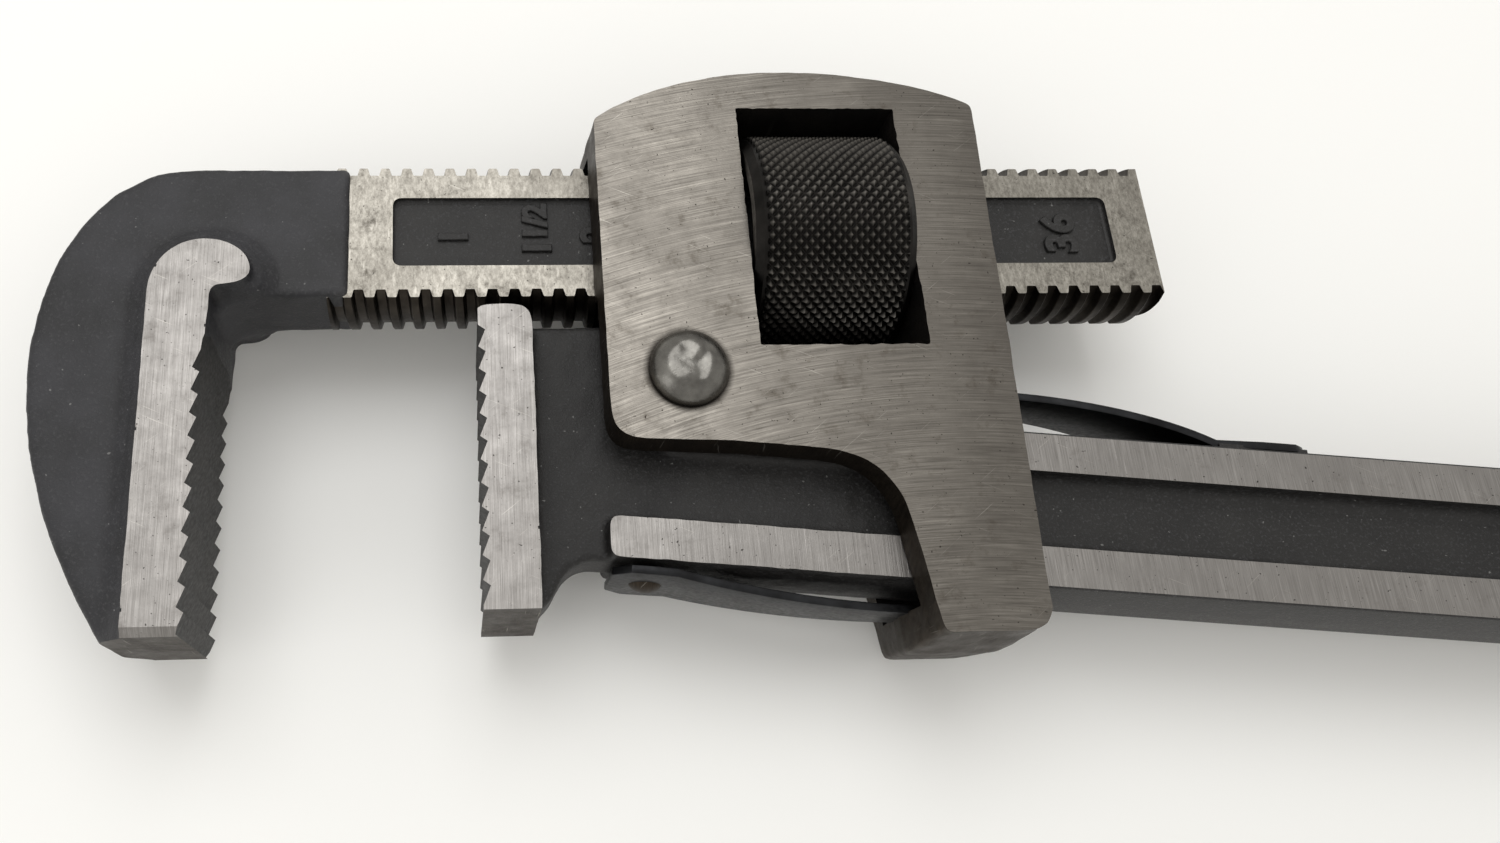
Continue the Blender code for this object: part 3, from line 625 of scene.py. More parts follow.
# %% Relief and broken edges
def store_relief(obj, scale, rounds):
    """Stores how proud (+) or sunk (-) each vertex is, spread over its neighbours."""
    bm = bmesh.new()
    bm.from_mesh(obj.data)
    bm.normal_update()
    near = [[edge.other_vert(vert).index for edge in vert.link_edges] for vert in bm.verts]
    values = []
    for vert in bm.verts:
        around = [edge.other_vert(vert).co for edge in vert.link_edges]
        middle = sum(around, Vector()) / max(len(around), 1)
        values.append(min(1.0, max(-1.0, (vert.co - middle).dot(vert.normal) / scale)))
    bm.free()
    for _ in range(rounds):
        values = [(v + sum(values[i] for i in others)) / (len(others) + 1)
                  for v, others in zip(values, near)]
    layer = obj.data.attributes.get("relief") or obj.data.attributes.new("relief", "FLOAT", "POINT")
    layer.data.foreach_set("value", values)
    print(obj.name, "relief from", round(min(values), 2), "to", round(max(values), 2))


def break_edges(obj, height, width, drop):
    """Takes the sharp edge off the ground faces at +height and -height."""
    bm = bmesh.new()
    bm.from_mesh(obj.data)
    bm.normal_update()
    layer = bm.verts.layers.float.get("relief") or bm.verts.layers.float.new("relief")
    for side in (1, -1):
        faces = [f for f in bm.faces if f.normal.z * side > 0.99
                 and all(abs(v.co.z - side * height) < 0.001 for v in f.verts)]
        rim = {v for f in faces for v in f.verts}
        bmesh.ops.inset_region(bm, faces=faces, thickness=width, use_even_offset=True,
                               use_boundary=True)
        inner = {v for f in faces for v in f.verts}
        for vert in inner:
            vert[layer] = 0.0
        for vert in rim - inner:
            vert.co.z -= side * drop * (0.6 + noise.noise(vert.co / 2.3))
            # The rim's relief lightens it in the shaders: a painted highlight on ground steel, worn
            # edges on forged and cut steel.
            vert[layer] = 0.5 + noise.noise(vert.co / 3.1)
        print(obj.name, "edge round", len(faces), "ground faces")
    bm.to_mesh(obj.data)
    bm.free()


# %% [markdown]
# ## The hook's teeth and the heel's teeth
#
# A milling cutter runs straight across each jaw and leaves twelve saw teeth. The hook's teeth
# lean up towards its throat and the heel's lean down, so that a pull on the handle rolls the
# pipe deeper into both.


# %% Tooth profiles
def teeth(x, top, side, rake):
    """Tooth profile from the top down; side is where the tips point, rake +1 leans them up."""
    points = []
    for i in range(TOOTH_COUNT):
        y = top - i * TOOTH_PITCH
        valley = y - (TOOTH_PITCH - SHORT_FLANK if rake > 0 else SHORT_FLANK)
        points.append((x, y))
        points.append((x - side * TOOTH_DEPTH, valley))
    points.append((x, top - TOOTH_COUNT * TOOTH_PITCH))
    return points


hook_row = teeth(HOOK_X, 5.4, 1, 1)
heel_row = teeth(HEEL_X, 9.6, -1, -1)
print("teeth end at", round(hook_row[-1][1], 1), round(heel_row[-1][1], 1))

# %% [markdown]
# ## The hook jaw's forging
#
# The blank is two overlapping slabs, the hook's plate and the taller pad that will carry the
# teeth. A voxel remesh makes them one skin, and smoothing gives the soft fillets of a forging
# die. Boolean cutters then do the grinder's and the mill's work, so their edges stay crisp. A
# bevel on plain slabs would be lighter, but it can't round the inside corners where two shapes
# meet.


# %% Forge the hook
far = 60.0                 # reach of a cutter that passes right through


def hook_outline():
    top, under = SHANK_Y + 12.9, SHANK_Y - 13.4
    back_x = hook_low.x + 0.1
    back = curve((-88.0, top), (-103.0, top), (back_x, 28.2), (back_x, 6.0))
    belly = curve((back_x, 6.0), (back_x, -12.0), (-107.0, -29.5), (-97.4, HOOK_NOSE_Y - 0.6))
    throat = curve((HOOK_X - 2.0, 6.0), (HOOK_X - 1.8, 13.5), (HOOK_X + 2.0, under),
                   (HOOK_X + 10.5, under), 8)
    points = [(SHANK_LEFT, top)] + back + belly[1:]
    points += [(-95.5, HOOK_NOSE_Y - 2.0), (HOOK_X - 2.5, HOOK_NOSE_Y - 2.0), (HOOK_X - 2.5, 3.0)]
    return points + throat + [(SHANK_LEFT, under)]


def hook_pad_outline():
    left = HOOK_X - 9.9
    lobe = curve((left, 17.0), (left + 0.2, 27.0), (left + 12.0, 29.8), (left + 16.6, 23.4), 14)
    lobe += curve((left + 16.6, 23.4), (left + 19.2, 19.6), (left + 16.6, 18.0),
                  (left + 13.2, 17.7), 8)[1:]
    lobe += curve((left + 13.2, 17.7), (HOOK_X + 0.6, 16.6), (HOOK_X + 0.4, 11.0),
                  (HOOK_X + 0.6, 6.0), 8)[1:]
    return lobe + [(HOOK_X + 1.0, HOOK_NOSE_Y - 2.0), (left, HOOK_NOSE_Y - 2.0)]



def hook_step(out, height):
    """The pad moved outwards, except at its teeth, where the throat stays clear."""
    edge = HOOK_X + 0.8
    points = [(min(x, edge) if y < 17.8 else x, y) for x, y in grown(hook_pad_outline(), out)]
    return slab(points, -height, height)


hook_head = forge("hook_head", [slab(hook_outline(), -HOOK_HALF, HOOK_HALF),
                                hook_step(3.6, HOOK_HALF + 1.0), hook_step(1.9, HOOK_HALF + 2.4),
                                hook_step(0.0, JAW_HALF + 2.5)], 0.55, 14, blue_forging)
print(hook_head.name, "blank", len(hook_head.data.vertices), "vertices")

# %% Machine the hook
for side in (1, -1):
    machine(hook_head, box_bm(-130, -50, -60, 60, *sorted((side * JAW_HALF, side * far))),
            pad_steel)
machine(hook_head, box_bm(-130, -50, HOOK_NOSE_Y - far, HOOK_NOSE_Y, -far, far), nose_steel)
gullet = [(HOOK_X + 3.0, 13.0), (HOOK_X + 0.9, 9.6), (HOOK_X + 0.2, 7.4)] + hook_row
gullet += [(HOOK_X, -far), (-60.0, -far), (-60.0, 13.0)]
machine(hook_head, slab(gullet, -far, far), tooth_steel)
for side in (1, -1):
    edge = [(HOOK_NOSE_Y - 2.0, side * (JAW_HALF - 3.4)),
            (HOOK_NOSE_Y + 3.4, side * (JAW_HALF + 2.0)),
            (HOOK_NOSE_Y - 2.0, side * (JAW_HALF + 2.0))]
    machine(hook_head, bar_bm(edge, -130, -50), pad_steel)
break_edges(hook_head, JAW_HALF, 0.22, 0.10)
finish_piece(hook_head, "hook_body", "hook_jaw")

# %% [markdown]
# ## The hook jaw's shank
#
# On the lathe the shank is a round bar with a trapezoid thread, and grinding both sides flat
# leaves the thread only along its top and bottom edges. The mesh is made the same way: a profile
# is spun one full turn while it moves on by one pitch, which makes a true helix, and planes then
# cut the flats and the ends.


# %% Cut the thread
def thread_profile(start, count):
    """(x, radius) points of trapezoid ridges with softened corners."""
    points = []
    root, ease = THREAD_R - THREAD_DEPTH, 0.12
    for i in range(count):
        middle = start + i * THREAD_PITCH
        base, tip = THREAD_BASE / 2, THREAD_TIP / 2
        points += [(middle - base - ease, root), (middle - base, root + ease),
                   (middle - tip - ease / 2, THREAD_R - ease), (middle - tip + ease, THREAD_R),
                   (middle + tip - ease, THREAD_R), (middle + tip + ease / 2, THREAD_R - ease),
                   (middle + base, root + ease), (middle + base + ease, root)]
    return points


def close_cut(bm, cut):
    """Fills the loop that a plane has just cut."""
    edges = [g for g in cut["geom_cut"] if isinstance(g, bmesh.types.BMEdge)]
    return bmesh.ops.edgeloop_fill(bm, edges=edges)["faces"]


def trim(bm, point, normal):
    """Cuts away what lies beyond a plane and closes the cut."""
    geom = list(bm.verts) + list(bm.edges) + list(bm.faces)
    cut = bmesh.ops.bisect_plane(bm, geom=geom, dist=0.0001, plane_co=point, plane_no=normal,
                                 clear_outer=True)
    return close_cut(bm, cut)


def threaded_bar():
    steps = 96
    count = math.ceil((SHANK_RIGHT - SHANK_LEFT) / THREAD_PITCH) + 5
    start = SHANK_LEFT - 3.5 * THREAD_PITCH
    bm = bmesh.new()
    verts = [bm.verts.new((x, r, 0)) for x, r in thread_profile(start, count)]
    edges = [bm.edges.new(pair) for pair in zip(verts, verts[1:])]
    bmesh.ops.spin(bm, geom=verts + edges, cent=(0, 0, 0), axis=(1, 0, 0), angle=2 * math.pi,
                   dvec=(THREAD_PITCH / steps, 0, 0), steps=steps)
    bmesh.ops.remove_doubles(bm, verts=bm.verts, dist=0.01)
    bmesh.ops.translate(bm, verts=bm.verts, vec=(0, SHANK_Y, 0))
    ends = trim(bm, (SHANK_RIGHT, 0, 0), (1, 0, 0)) + trim(bm, (SHANK_LEFT - 4, 0, 0), (-1, 0, 0))
    flats = trim(bm, (0, 0, SHANK_HALF), (0, 0, 1)) + trim(bm, (0, 0, -SHANK_HALF), (0, 0, -1))
    for face in bm.faces:
        face.material_index = 1
    for face in flats + ends:
        if face.is_valid:
            face.material_index = 0
    bmesh.ops.recalc_face_normals(bm, faces=bm.faces)
    return bm


shank = to_object("hook_shank", threaded_bar(), shank_steel, thread_steel)
print(shank.name, len(shank.data.vertices), "vertices")

# %% [markdown]
# ### The scale panel
#
# Each flat has a shallow panel, pressed in while the shank was still hot, which stays black when
# the flats are ground. Raised figures give the pipe size in inches next to the frame's edge.


# %% Sink the panels
PANEL_LEFT, PANEL_RIGHT, PANEL_HALF, PANEL_DEPTH = SHANK_LEFT + 7.8, SHANK_RIGHT - 7.8, 7.05, 1.2


def panel_tool(side):
    """A dished cutter with a radius round its floor."""
    bm = bmesh.new()
    ring = [(PANEL_LEFT, -PANEL_HALF), (PANEL_RIGHT, -PANEL_HALF), (PANEL_RIGHT, PANEL_HALF),
            (PANEL_LEFT, PANEL_HALF)]
    outline = rounded([(x, y + SHANK_Y) for x, y in ring], 1.8, 6)
    face = bm.faces.new([bm.verts.new((x, y, side * (SHANK_HALF - PANEL_DEPTH)))
                         for x, y in outline])
    moved = bmesh.ops.extrude_face_region(bm, geom=[face])
    top = [g for g in moved["geom"] if isinstance(g, bmesh.types.BMVert)]
    bmesh.ops.translate(bm, verts=top, vec=(0, 0, side * 4.0))
    floor_edges = [e for e in bm.edges
                   if all(abs(abs(v.co.z) - (SHANK_HALF - PANEL_DEPTH)) < 0.001 for v in e.verts)]
    bmesh.ops.bevel(bm, geom=floor_edges, offset=0.6, offset_type="OFFSET", affect="EDGES",
                    segments=4, profile=0.5, material=-1)
    bmesh.ops.recalc_face_normals(bm, faces=bm.faces)
    return bm


for side in (1, -1):
    machine(shank, panel_tool(side), black_forging)
print(shank.name, "with panels", len(shank.data.vertices), "vertices")


# %% Raise the figures
def figure(text, x, y, height, side):
    """Raised figures that read up the shank, their tops towards the hook."""
    font = bpy.data.curves.new("figure", "FONT")
    font.body = text
    font.size = height / 0.70
    font.align_x, font.align_y = "CENTER", "CENTER"
    font.offset = 0.16
    font.extrude = 0.26
    font.bevel_depth = 0.22
    font.bevel_resolution = 2
    font.resolution_u = 6
    holder = bpy.data.objects.new("figure", font)
    bpy.context.scene.collection.objects.link(holder)
    deps = bpy.context.evaluated_depsgraph_get()
    mesh = bpy.data.meshes.new_from_object(holder.evaluated_get(deps))
    turn = Matrix.Rotation(math.pi / 2, 4, "Z")
    if side < 0:
        turn = Matrix.Rotation(math.pi, 4, "X") @ turn
    z = side * (SHANK_HALF - PANEL_DEPTH + 0.20)
    mesh.transform(Matrix.Translation((x, y, z)) @ turn)
    bpy.data.objects.remove(holder)
    return mesh


INCH_MARKS = [("1", -39.8, 30.6, 5.0), ("1", -24.3, 28.2, 5.0), ("1/2", -24.6, 33.6, 4.2),
              ("2", -13.4, 31.0, 5.0), ("2", -1.6, 28.4, 5.0), ("1/2", -1.9, 33.6, 4.2),
              ("3", 13.6, 31.0, 5.0), ("36", 76.3, 31.0, 6.0)]
figures = bmesh.new()
for side in (1, -1):
    for text, x, y, height in INCH_MARKS:
        mesh = figure(text, x, y, height, side)
        figures.from_mesh(mesh)
        bpy.data.meshes.remove(mesh)
scale_figures = to_object("scale_figures", figures, black_forging)
finish_piece(shank, "hook_body", "hook_jaw")
finish_piece(scale_figures, "hook_body", "hook_jaw")

# %% [markdown]
# ## The handle's forging
#
# One forging holds the heel jaw, the head that the pin goes through and the bar. Its fine end is
# forged like the hook: a thin web, a tall pad for the teeth and two rails that run down the bar.
# The rest of the bar is the same section all the way, so it is a plain loft, and the two meet
# inside the frame, where nothing shows.


# %% Forge the heel and the head
JOINT_X = 49.0


def web_outline():
    top = 13.3
    right = HEEL_X + 9.4
    heel = curve((right, HEEL_NOSE_Y + 1.0), (right + 4.5, -36.5), (right + 2.5, -32.0),
                 (-17.5, bar_bottom(-17.5)), 10)
    head = rounded([(-36.0, 12.9), (8.4, 12.9), (8.4, -3.0)], 5.0)[6:12]
    base = [(HEEL_X + 1.5, HEEL_NOSE_Y - 1.0), (right - 1.0, HEEL_NOSE_Y - 1.0)] + heel
    base += [(3.0, bar_bottom(3.0)), (8.0, bar_bottom(8.0) - 0.8)]
    return base + [(JOINT_X, bar_bottom(JOINT_X) - 0.8), (JOINT_X, bar_top(JOINT_X)),
                   (14.0, bar_top(14.0)), (8.4, -3.0)] + head[::-1] + [(HEEL_X + 1.5, top - 0.4)]


def heel_pad_outline():
    right = HEEL_X + 9.5
    ring = [(HEEL_X - 1.0, HEEL_NOSE_Y - 1.5), (right, HEEL_NOSE_Y - 1.5), (right, 13.6),
            (HEEL_X - 1.0, 13.6)]
    return ring[:2] + rounded(ring, 3.2)[12:]


def rail_outline(start, end, low):
    """A rail along the bar; low is its lower edge above the bar's underside."""
    height = RAIL / math.cos(BAR_SLOPE)
    return rounded([(start, bar_bottom(start) + low), (end, bar_bottom(end) + low),
                    (end, bar_bottom(end) + low + height),
                    (start, bar_bottom(start) + low + height)], 1.2)


rail_rise = RAIL / math.cos(BAR_SLOPE)
boss = rounded([(-9.0, -9.0), (8.4, -9.0), (8.4, 12.6), (-9.0, 12.6)], 4.0)
handle_head = forge("handle_head", [
    slab(web_outline(), -WEB_HALF, WEB_HALF),
    slab(heel_pad_outline(), -JAW_HALF - 2.5, JAW_HALF + 2.5),
    slab(rail_outline(-14.4, JOINT_X + 3, 0.0), -RAIL_HALF - 2.0, RAIL_HALF + 2.0),
    slab(rail_outline(-3.0, JOINT_X + 3, BAR_RISE - rail_rise), -RAIL_HALF - 2.0, RAIL_HALF + 2.0),
    slab(boss, -RAIL_HALF - 2.0, RAIL_HALF + 2.0)], 0.55, 12, black_forging)
print(handle_head.name, "blank", len(handle_head.data.vertices), "vertices")

# %% Machine the heel and the head
pin_hole = [(-far, 0), (-far, 4.9), (far, 4.9), (far, 0)]
machine(handle_head, turned(pin_hole, (0, 0, 0), (0, 0, 1), 48), tooth_steel)
for side in (1, -1):
    machine(handle_head, box_bm(-60, 80, -80, 60, *sorted((side * JAW_HALF, side * far))),
            pad_steel)
    machine(handle_head, box_bm(-20, 80, -80, 60, *sorted((side * RAIL_HALF, side * far))),
            pad_steel)
machine(handle_head, box_bm(-60, -18, HEEL_NOSE_Y - far, HEEL_NOSE_Y, -far, far), nose_steel)
gullet = [(HEEL_X, far / 2), (-far, far / 2), (-far, -far), (HEEL_X, -far)] + heel_row[::-1]
machine(handle_head, slab(gullet, -far, far), tooth_steel)
machine(handle_head, box_bm(JOINT_X, JOINT_X + far, -far, far, -far, far), tooth_steel)
break_edges(handle_head, JAW_HALF, 0.22, 0.10)
break_edges(handle_head, RAIL_HALF, 0.22, 0.10)
finish_piece(handle_head, "handle_body", "handle")


# %% [markdown]
# ### The long bar
#
# The bar is a straight slab with a round eye. A pocket cutter with a radius round its floor
# leaves the two rails and the thin web, and the hang hole is drilled through the eye.


# %% Make the bar
def bar_point(x, up):
    """A point on the bar at x, so far above its underside."""
    return (x, bar_bottom(x) + up)


def pocket_tool(side, x0, x1):
    """The hollow between the rails, dished at its floor."""
    low, high = rail_rise, BAR_RISE - rail_rise
    outline = rounded([bar_point(x0, low), bar_point(x1, low), bar_point(x1, high),
                       bar_point(x0, high)], 6.0, 8)
    bm = slab(outline, *sorted((side * WEB_HALF, side * (RAIL_HALF + 3.0))))
    floor_edges = [e for e in bm.edges if all(abs(abs(v.co.z) - WEB_HALF) < 0.001 for v in e.verts)]
    bmesh.ops.bevel(bm, geom=floor_edges, offset=2.6, offset_type="OFFSET", affect="EDGES",
                    segments=6, profile=0.5, material=-1)
    bmesh.ops.recalc_face_normals(bm, faces=bm.faces)
    return bm


end_x = handle_high.x - EYE_R
eye_y = (bar_bottom(end_x) + bar_top(end_x)) / 2


def bar_ring(draft):
    """The bar's outline; draft is how far its long sides stand out."""
    lower = [bar_point(JOINT_X, -draft), bar_point(end_x - 16.0, -draft)]
    upper = [bar_point(end_x - 14.0, BAR_RISE + draft), bar_point(JOINT_X, BAR_RISE + draft)]
    return lower + arc(end_x, eye_y, EYE_R, EYE_R, -118, 110, 40) + upper


bar_mesh = drafted(bar_ring, 0.0, 0.6, RAIL_HALF)
for face in bar_mesh.faces:
    face.material_index = 1 if abs(face.normal.z) > 0.9 else 0
rim = [e for e in bar_mesh.edges if len({abs(f.normal.z) > 0.9 for f in e.link_faces}) == 2]
bmesh.ops.bevel(bar_mesh, geom=rim, offset=0.35, offset_type="OFFSET", affect="EDGES", segments=2,
                profile=0.5, material=0)
handle_bar = to_object("handle_bar", bar_mesh, black_forging, pad_steel)
seat = [bar_point(UPPER_RIVET_X - 8.0, -1.0 + BAR_RISE), bar_point(UPPER_RIVET_X + 8.0, BAR_RISE - 1.0),
        bar_point(UPPER_RIVET_X + 8.0, BAR_RISE + SEAT_RISE + 0.2),
        bar_point(UPPER_RIVET_X - 8.0, BAR_RISE + SEAT_RISE + 0.2)]
machine(handle_bar, slab(seat, 0.3 - SPRING_HALF, SPRING_HALF - 0.3), black_forging, "UNION")
for side in (1, -1):
    machine(handle_bar, pocket_tool(side, JOINT_X - 20.0, end_x - 30.0), black_forging)
hole = [(-far, 0), (-far, HANG_HOLE_R), (-RAIL_HALF - 0.4, HANG_HOLE_R), (-RAIL_HALF + 1.0,
        HANG_HOLE_R), (RAIL_HALF - 1.0, HANG_HOLE_R), (RAIL_HALF + 0.4, HANG_HOLE_R),
        (far, HANG_HOLE_R), (far, 0)]
machine(handle_bar, turned(hole, (end_x, eye_y, 0), (0, 0, 1), 64), tooth_steel)
finish_piece(handle_bar, "handle_body", "handle")

# %% [markdown]
# ## The frame
#
# The frame is a forging too, but almost nothing of its skin is left: both cheeks are ground flat
# and the window is milled. Its sides lean out a little towards the middle, where the two halves
# of the die met.


# %% Forge and grind the frame
def frame_outline(grow):
    """The cheek's outline, moved outwards by grow."""
    g = grow
    left, right = frame_low.x - g, frame_high.x + g
    bottom, top = -45.9 - g, frame_high.y - 0.4
    left_top, right_top = (left, 50.4), (right, 53.8)
    arch = curve(right_top, (44.0, top + 0.6), (8.0, top + 5.9), left_top, 24)
    heel = [left_top] + rounded([(left, 20.0), (left, -11.9 - g), (12.0, -13.2 - g)], 5.5)[6:12]
    throat = [(10.0, -13.1 - g)] + curve((22.0, -14.4 - g), (30.0, -15.4 - g),
                                         (34.5 - g, -20.0), (35.6 - g, -28.0), 14)
    foot = [(38.3 - g, bottom), (right - 5.6 - g, bottom), (right - 3.4, bottom + 0.8 + g * 0.5),
            (right - 2.2, bottom + 3.0 + g)]
    return heel[1:] + throat + foot + arch[:-1] + [left_top]


frame_body = forge("frame_forging",
                   [drafted(frame_outline, 0.0, 1.4, FRAME_HALF + 2.5)], 0.6, 8, nose_steel)
for side in (1, -1):
    machine(frame_body, box_bm(-60, 100, -80, 100, *sorted((side * FRAME_HALF, side * far))),
            frame_steel)

# %% [markdown]
# ### The frame's window, channel and loop
#
# The nut turns in a window cut right through, the shank slides in a channel behind the cheeks,
# and a wider room below it holds the handle and the ends of both springs.


# %% Mill the frame
WINDOW_LEFT, WINDOW_RIGHT = nut_low.x - 0.5, nut_high.x + 0.5
WINDOW_TOP, WINDOW_BOTTOM = nut_high.y + 0.5, nut_low.y - 5.9
machine(frame_body, box_bm(-80, 100, SHANK_Y - THREAD_R - 0.3, SHANK_Y + THREAD_R + 0.4,
                           -SHANK_HALF - 0.4, SHANK_HALF + 0.4), tooth_steel)
lower_touch = bar_bottom(frame_high.x) - 1.7
upper_touch = bar_top(frame_high.x) + 9.6
inside, roof = lower_touch - 1.05, upper_touch + 1.05
ceiling = bar_top(9.5) + 3.1
room = [(-80, inside), (100, inside), (100, roof), (WINDOW_RIGHT + 1.5, roof),
        (WINDOW_RIGHT, ceiling), (9.5, ceiling), (9.5, SHANK_Y - THREAD_R), (-80, SHANK_Y - THREAD_R)]
machine(frame_body, slab(room, -RAIL_HALF - 0.4, RAIL_HALF + 0.4), tooth_steel)
window = [(WINDOW_LEFT, WINDOW_BOTTOM), (WINDOW_RIGHT, WINDOW_BOTTOM), (WINDOW_RIGHT, WINDOW_TOP),
          (WINDOW_LEFT, WINDOW_TOP)]
machine(frame_body, slab(ragged(rounded(window, 0.5, 2), 0.9, 0.26, 3.0), -far, far), tooth_steel)
machine(frame_body, turned(pin_hole, (0, 0, 0), (0, 0, 1), 48), tooth_steel)
break_edges(frame_body, FRAME_HALF, 0.30, 0.14)
finish_piece(frame_body, "frame_body", "frame")

# %% [markdown]
# ## The adjusting nut
#
# A knurling wheel rolls two crossing sets of grooves into the nut and leaves small diamond
# pyramids. A grid is laid out along the two groove directions, four lines to each pyramid, its
# points are raised at the pyramids' tips, and the sheet is then turned, trimmed and wrapped
# round the nut.


# %% Roll the knurl
KNURL_ROUND = 58           # pyramids round the nut
KNURL_DEPTH = 0.62
knurl_high = 2 * math.pi * NUT_R / KNURL_ROUND
knurl_wide = 2.0
KNURL_LEFT, KNURL_RIGHT = nut_low.x + 2.0, nut_high.x - 1.8


def knurl_sheet():
    """The knurl laid flat: X along the nut, Y round it, Z the height below the tips."""
    places = (-0.10, 0.10, 0.46, 0.54)
    heights = (1.0, 1.0, 0.0, 0.0)
    cells = KNURL_ROUND + math.ceil((KNURL_RIGHT - KNURL_LEFT) / knurl_wide) + 4
    segments = cells * 4
    bm = bmesh.new()
    bmesh.ops.create_grid(bm, x_segments=segments, y_segments=segments, size=0.5)
    middle = (KNURL_LEFT + KNURL_RIGHT) / 2
    for vert in bm.verts:
        i = round((vert.co.x + 0.5) * segments)
        j = round((vert.co.y + 0.5) * segments)
        a = i // 4 - cells // 2 + places[i % 4]
        b = j // 4 - cells // 2 + places[j % 4]
        up = min(heights[i % 4], heights[j % 4])
        vert.co = (middle + (a + b) / 2 * knurl_wide, (a - b) / 2 * knurl_high, up)
    return bm


def knurled_nut():
    bm = knurl_sheet()
    turn = KNURL_ROUND * knurl_high
    shift = knurl_high * 0.02
    for point, normal in (((KNURL_LEFT, 0, 0), (-1, 0, 0)), ((KNURL_RIGHT, 0, 0), (1, 0, 0)),
                          ((0, turn / 2 + shift, 0), (0, 1, 0)),
                          ((0, -turn / 2 + shift, 0), (0, -1, 0))):
        geom = list(bm.verts) + list(bm.edges) + list(bm.faces)
        bmesh.ops.bisect_plane(bm, geom=geom, dist=0.00001, plane_co=point, plane_no=normal,
                               clear_outer=True)
    bmesh.ops.triangulate(bm, faces=bm.faces, quad_method="LONG_EDGE")
    layer = bm.verts.layers.float.new("relief")
    for vert in bm.verts:
        x, y, up = vert.co
        angle = y / NUT_R
        radius = NUT_R - KNURL_DEPTH * (1 - up)
        vert[layer] = max(0.0, up - 0.6) * 1.6
        vert.co = (x, radius * math.cos(angle), radius * math.sin(angle))
    bmesh.ops.remove_doubles(bm, verts=bm.verts, dist=0.003)
    rims = [e for e in bm.edges if e.is_boundary]
    for end, side in ((KNURL_LEFT, -1), (KNURL_RIGHT, 1)):
        ring = [e for e in rims if e.is_valid and abs(e.verts[0].co.x - end) < 0.01]
        edge = nut_low.x if side < 0 else nut_high.x
        steps = [(end + side * 0.1, NUT_R - KNURL_DEPTH), (edge - side * 1.3, NUT_R - 0.55),
                 (edge, NUT_R - 1.8), (edge, 17.0), (edge - side * 0.6, 16.3)]
        for x, radius in steps:
            out = bmesh.ops.extrude_edge_only(bm, edges=ring)["geom"]
            ring = [g for g in out if isinstance(g, bmesh.types.BMEdge)]
            for vert in {v for e in ring for v in e.verts}:
                flat = Vector((0, vert.co.y, vert.co.z)).normalized() * radius
                vert.co = (x, flat.y, flat.z)
                vert[layer] = 0.0
    loose = [e for e in bm.edges if e.is_boundary]
    bmesh.ops.bridge_loops(bm, edges=loose)
    bmesh.ops.recalc_face_normals(bm, faces=bm.faces)
    bmesh.ops.translate(bm, verts=bm.verts, vec=(0, SHANK_Y, 0))
    return bm


nut = to_object("knurled_nut", knurled_nut(), nut_steel)
finish_piece(nut, "nut_body", "adjusting_nut", crease=20.0)

# %% [markdown]
# ## The frame pin
#
# The pin is riveted over: its round head is hammered down on the cheek, which flattens its top
# in small facets. A turned dome is the start, and each point near the top is pressed down to the
# hammer's level.


# %% Turn and hammer the pin
def pin_piece():
    radius = (pin_high.x - pin_low.x) / 2
    seat = FRAME_HALF - 0.05
    rise = PIN_TOP - FRAME_HALF
    dome = [(seat, radius * 0.985), (seat + 0.35, radius)]
    dome += arc(seat + 0.35, 0, rise - 0.35, radius, 84, 2, 16)
    dome = dome + [(PIN_TOP - 0.02, 0)]
    profile = [(-a, r) for a, r in reversed(dome)] + [(seat, 4.6)] + dome
    profile.insert(len(dome), (-seat, 4.6))
    bm = turned(profile, (0, 0, 0), (0, 0, 1), 64)
    for vert in bm.verts:
        if abs(vert.co.z) <= seat + 0.2:
            continue
        side = math.copysign(1, vert.co.z)
        place = Vector((vert.co.x / 2.4, vert.co.y / 2.4, side * 4.0))
        flat = PIN_TOP - 0.75 + 0.35 * noise.noise(place)
        dint = (Vector((vert.co.x, vert.co.y)) - Vector((0.4, -4.1))).length
        if dint < 1.5:
            flat = min(flat, abs(vert.co.z) - 0.4 * (1 - (dint / 1.5) ** 2))
        height = min(abs(vert.co.z), flat + 0.12 * vert.co.y / radius)
        vert.co.z = side * height
    return bm


pin = to_object("hammered_pin", pin_piece(), pin_steel)
finish_piece(pin, "frame_body", "frame_pin", crease=50.0)

# %% [markdown]
# ## The leaf springs
#
# Two strips of spring steel keep the frame from rattling. Each is riveted flat to the handle and
# bows out to touch the frame, so it has to bend when the frame tips.


# %% Bend the springs
def strip(name, line, rivet_x, tip_x, clip):
    """A strip of steel bent along a centre line; it narrows from its rivet to its tip."""
    bm = bmesh.new()
    rows = []
    for i, (x, y) in enumerate(line):
        share = min(max((x - rivet_x) / (tip_x - rivet_x), 0.0), 1.0)
        half = SPRING_HALF + (SPRING_TIP_HALF - SPRING_HALF) * share
        if i in (0, len(line) - 1):
            half -= clip
        rows.append([bm.verts.new((x, y, z)) for z in (-half, half)])
    for a, b in zip(rows, rows[1:]):
        bm.faces.new((a[0], a[1], b[1], b[0]))
    bm.normal_update()
    bmesh.ops.solidify(bm, geom=list(bm.faces), thickness=SPRING_THICK)
    bmesh.ops.recalc_face_normals(bm, faces=bm.faces)
    sharp = [e for e in bm.edges if len(e.link_faces) == 2 and e.calc_face_angle() > 0.8]
    bmesh.ops.bevel(bm, geom=sharp, offset=0.25, offset_type="OFFSET", affect="EDGES", segments=2,
                    profile=0.5, material=-1)
    return to_object(name, bm, spring_steel)


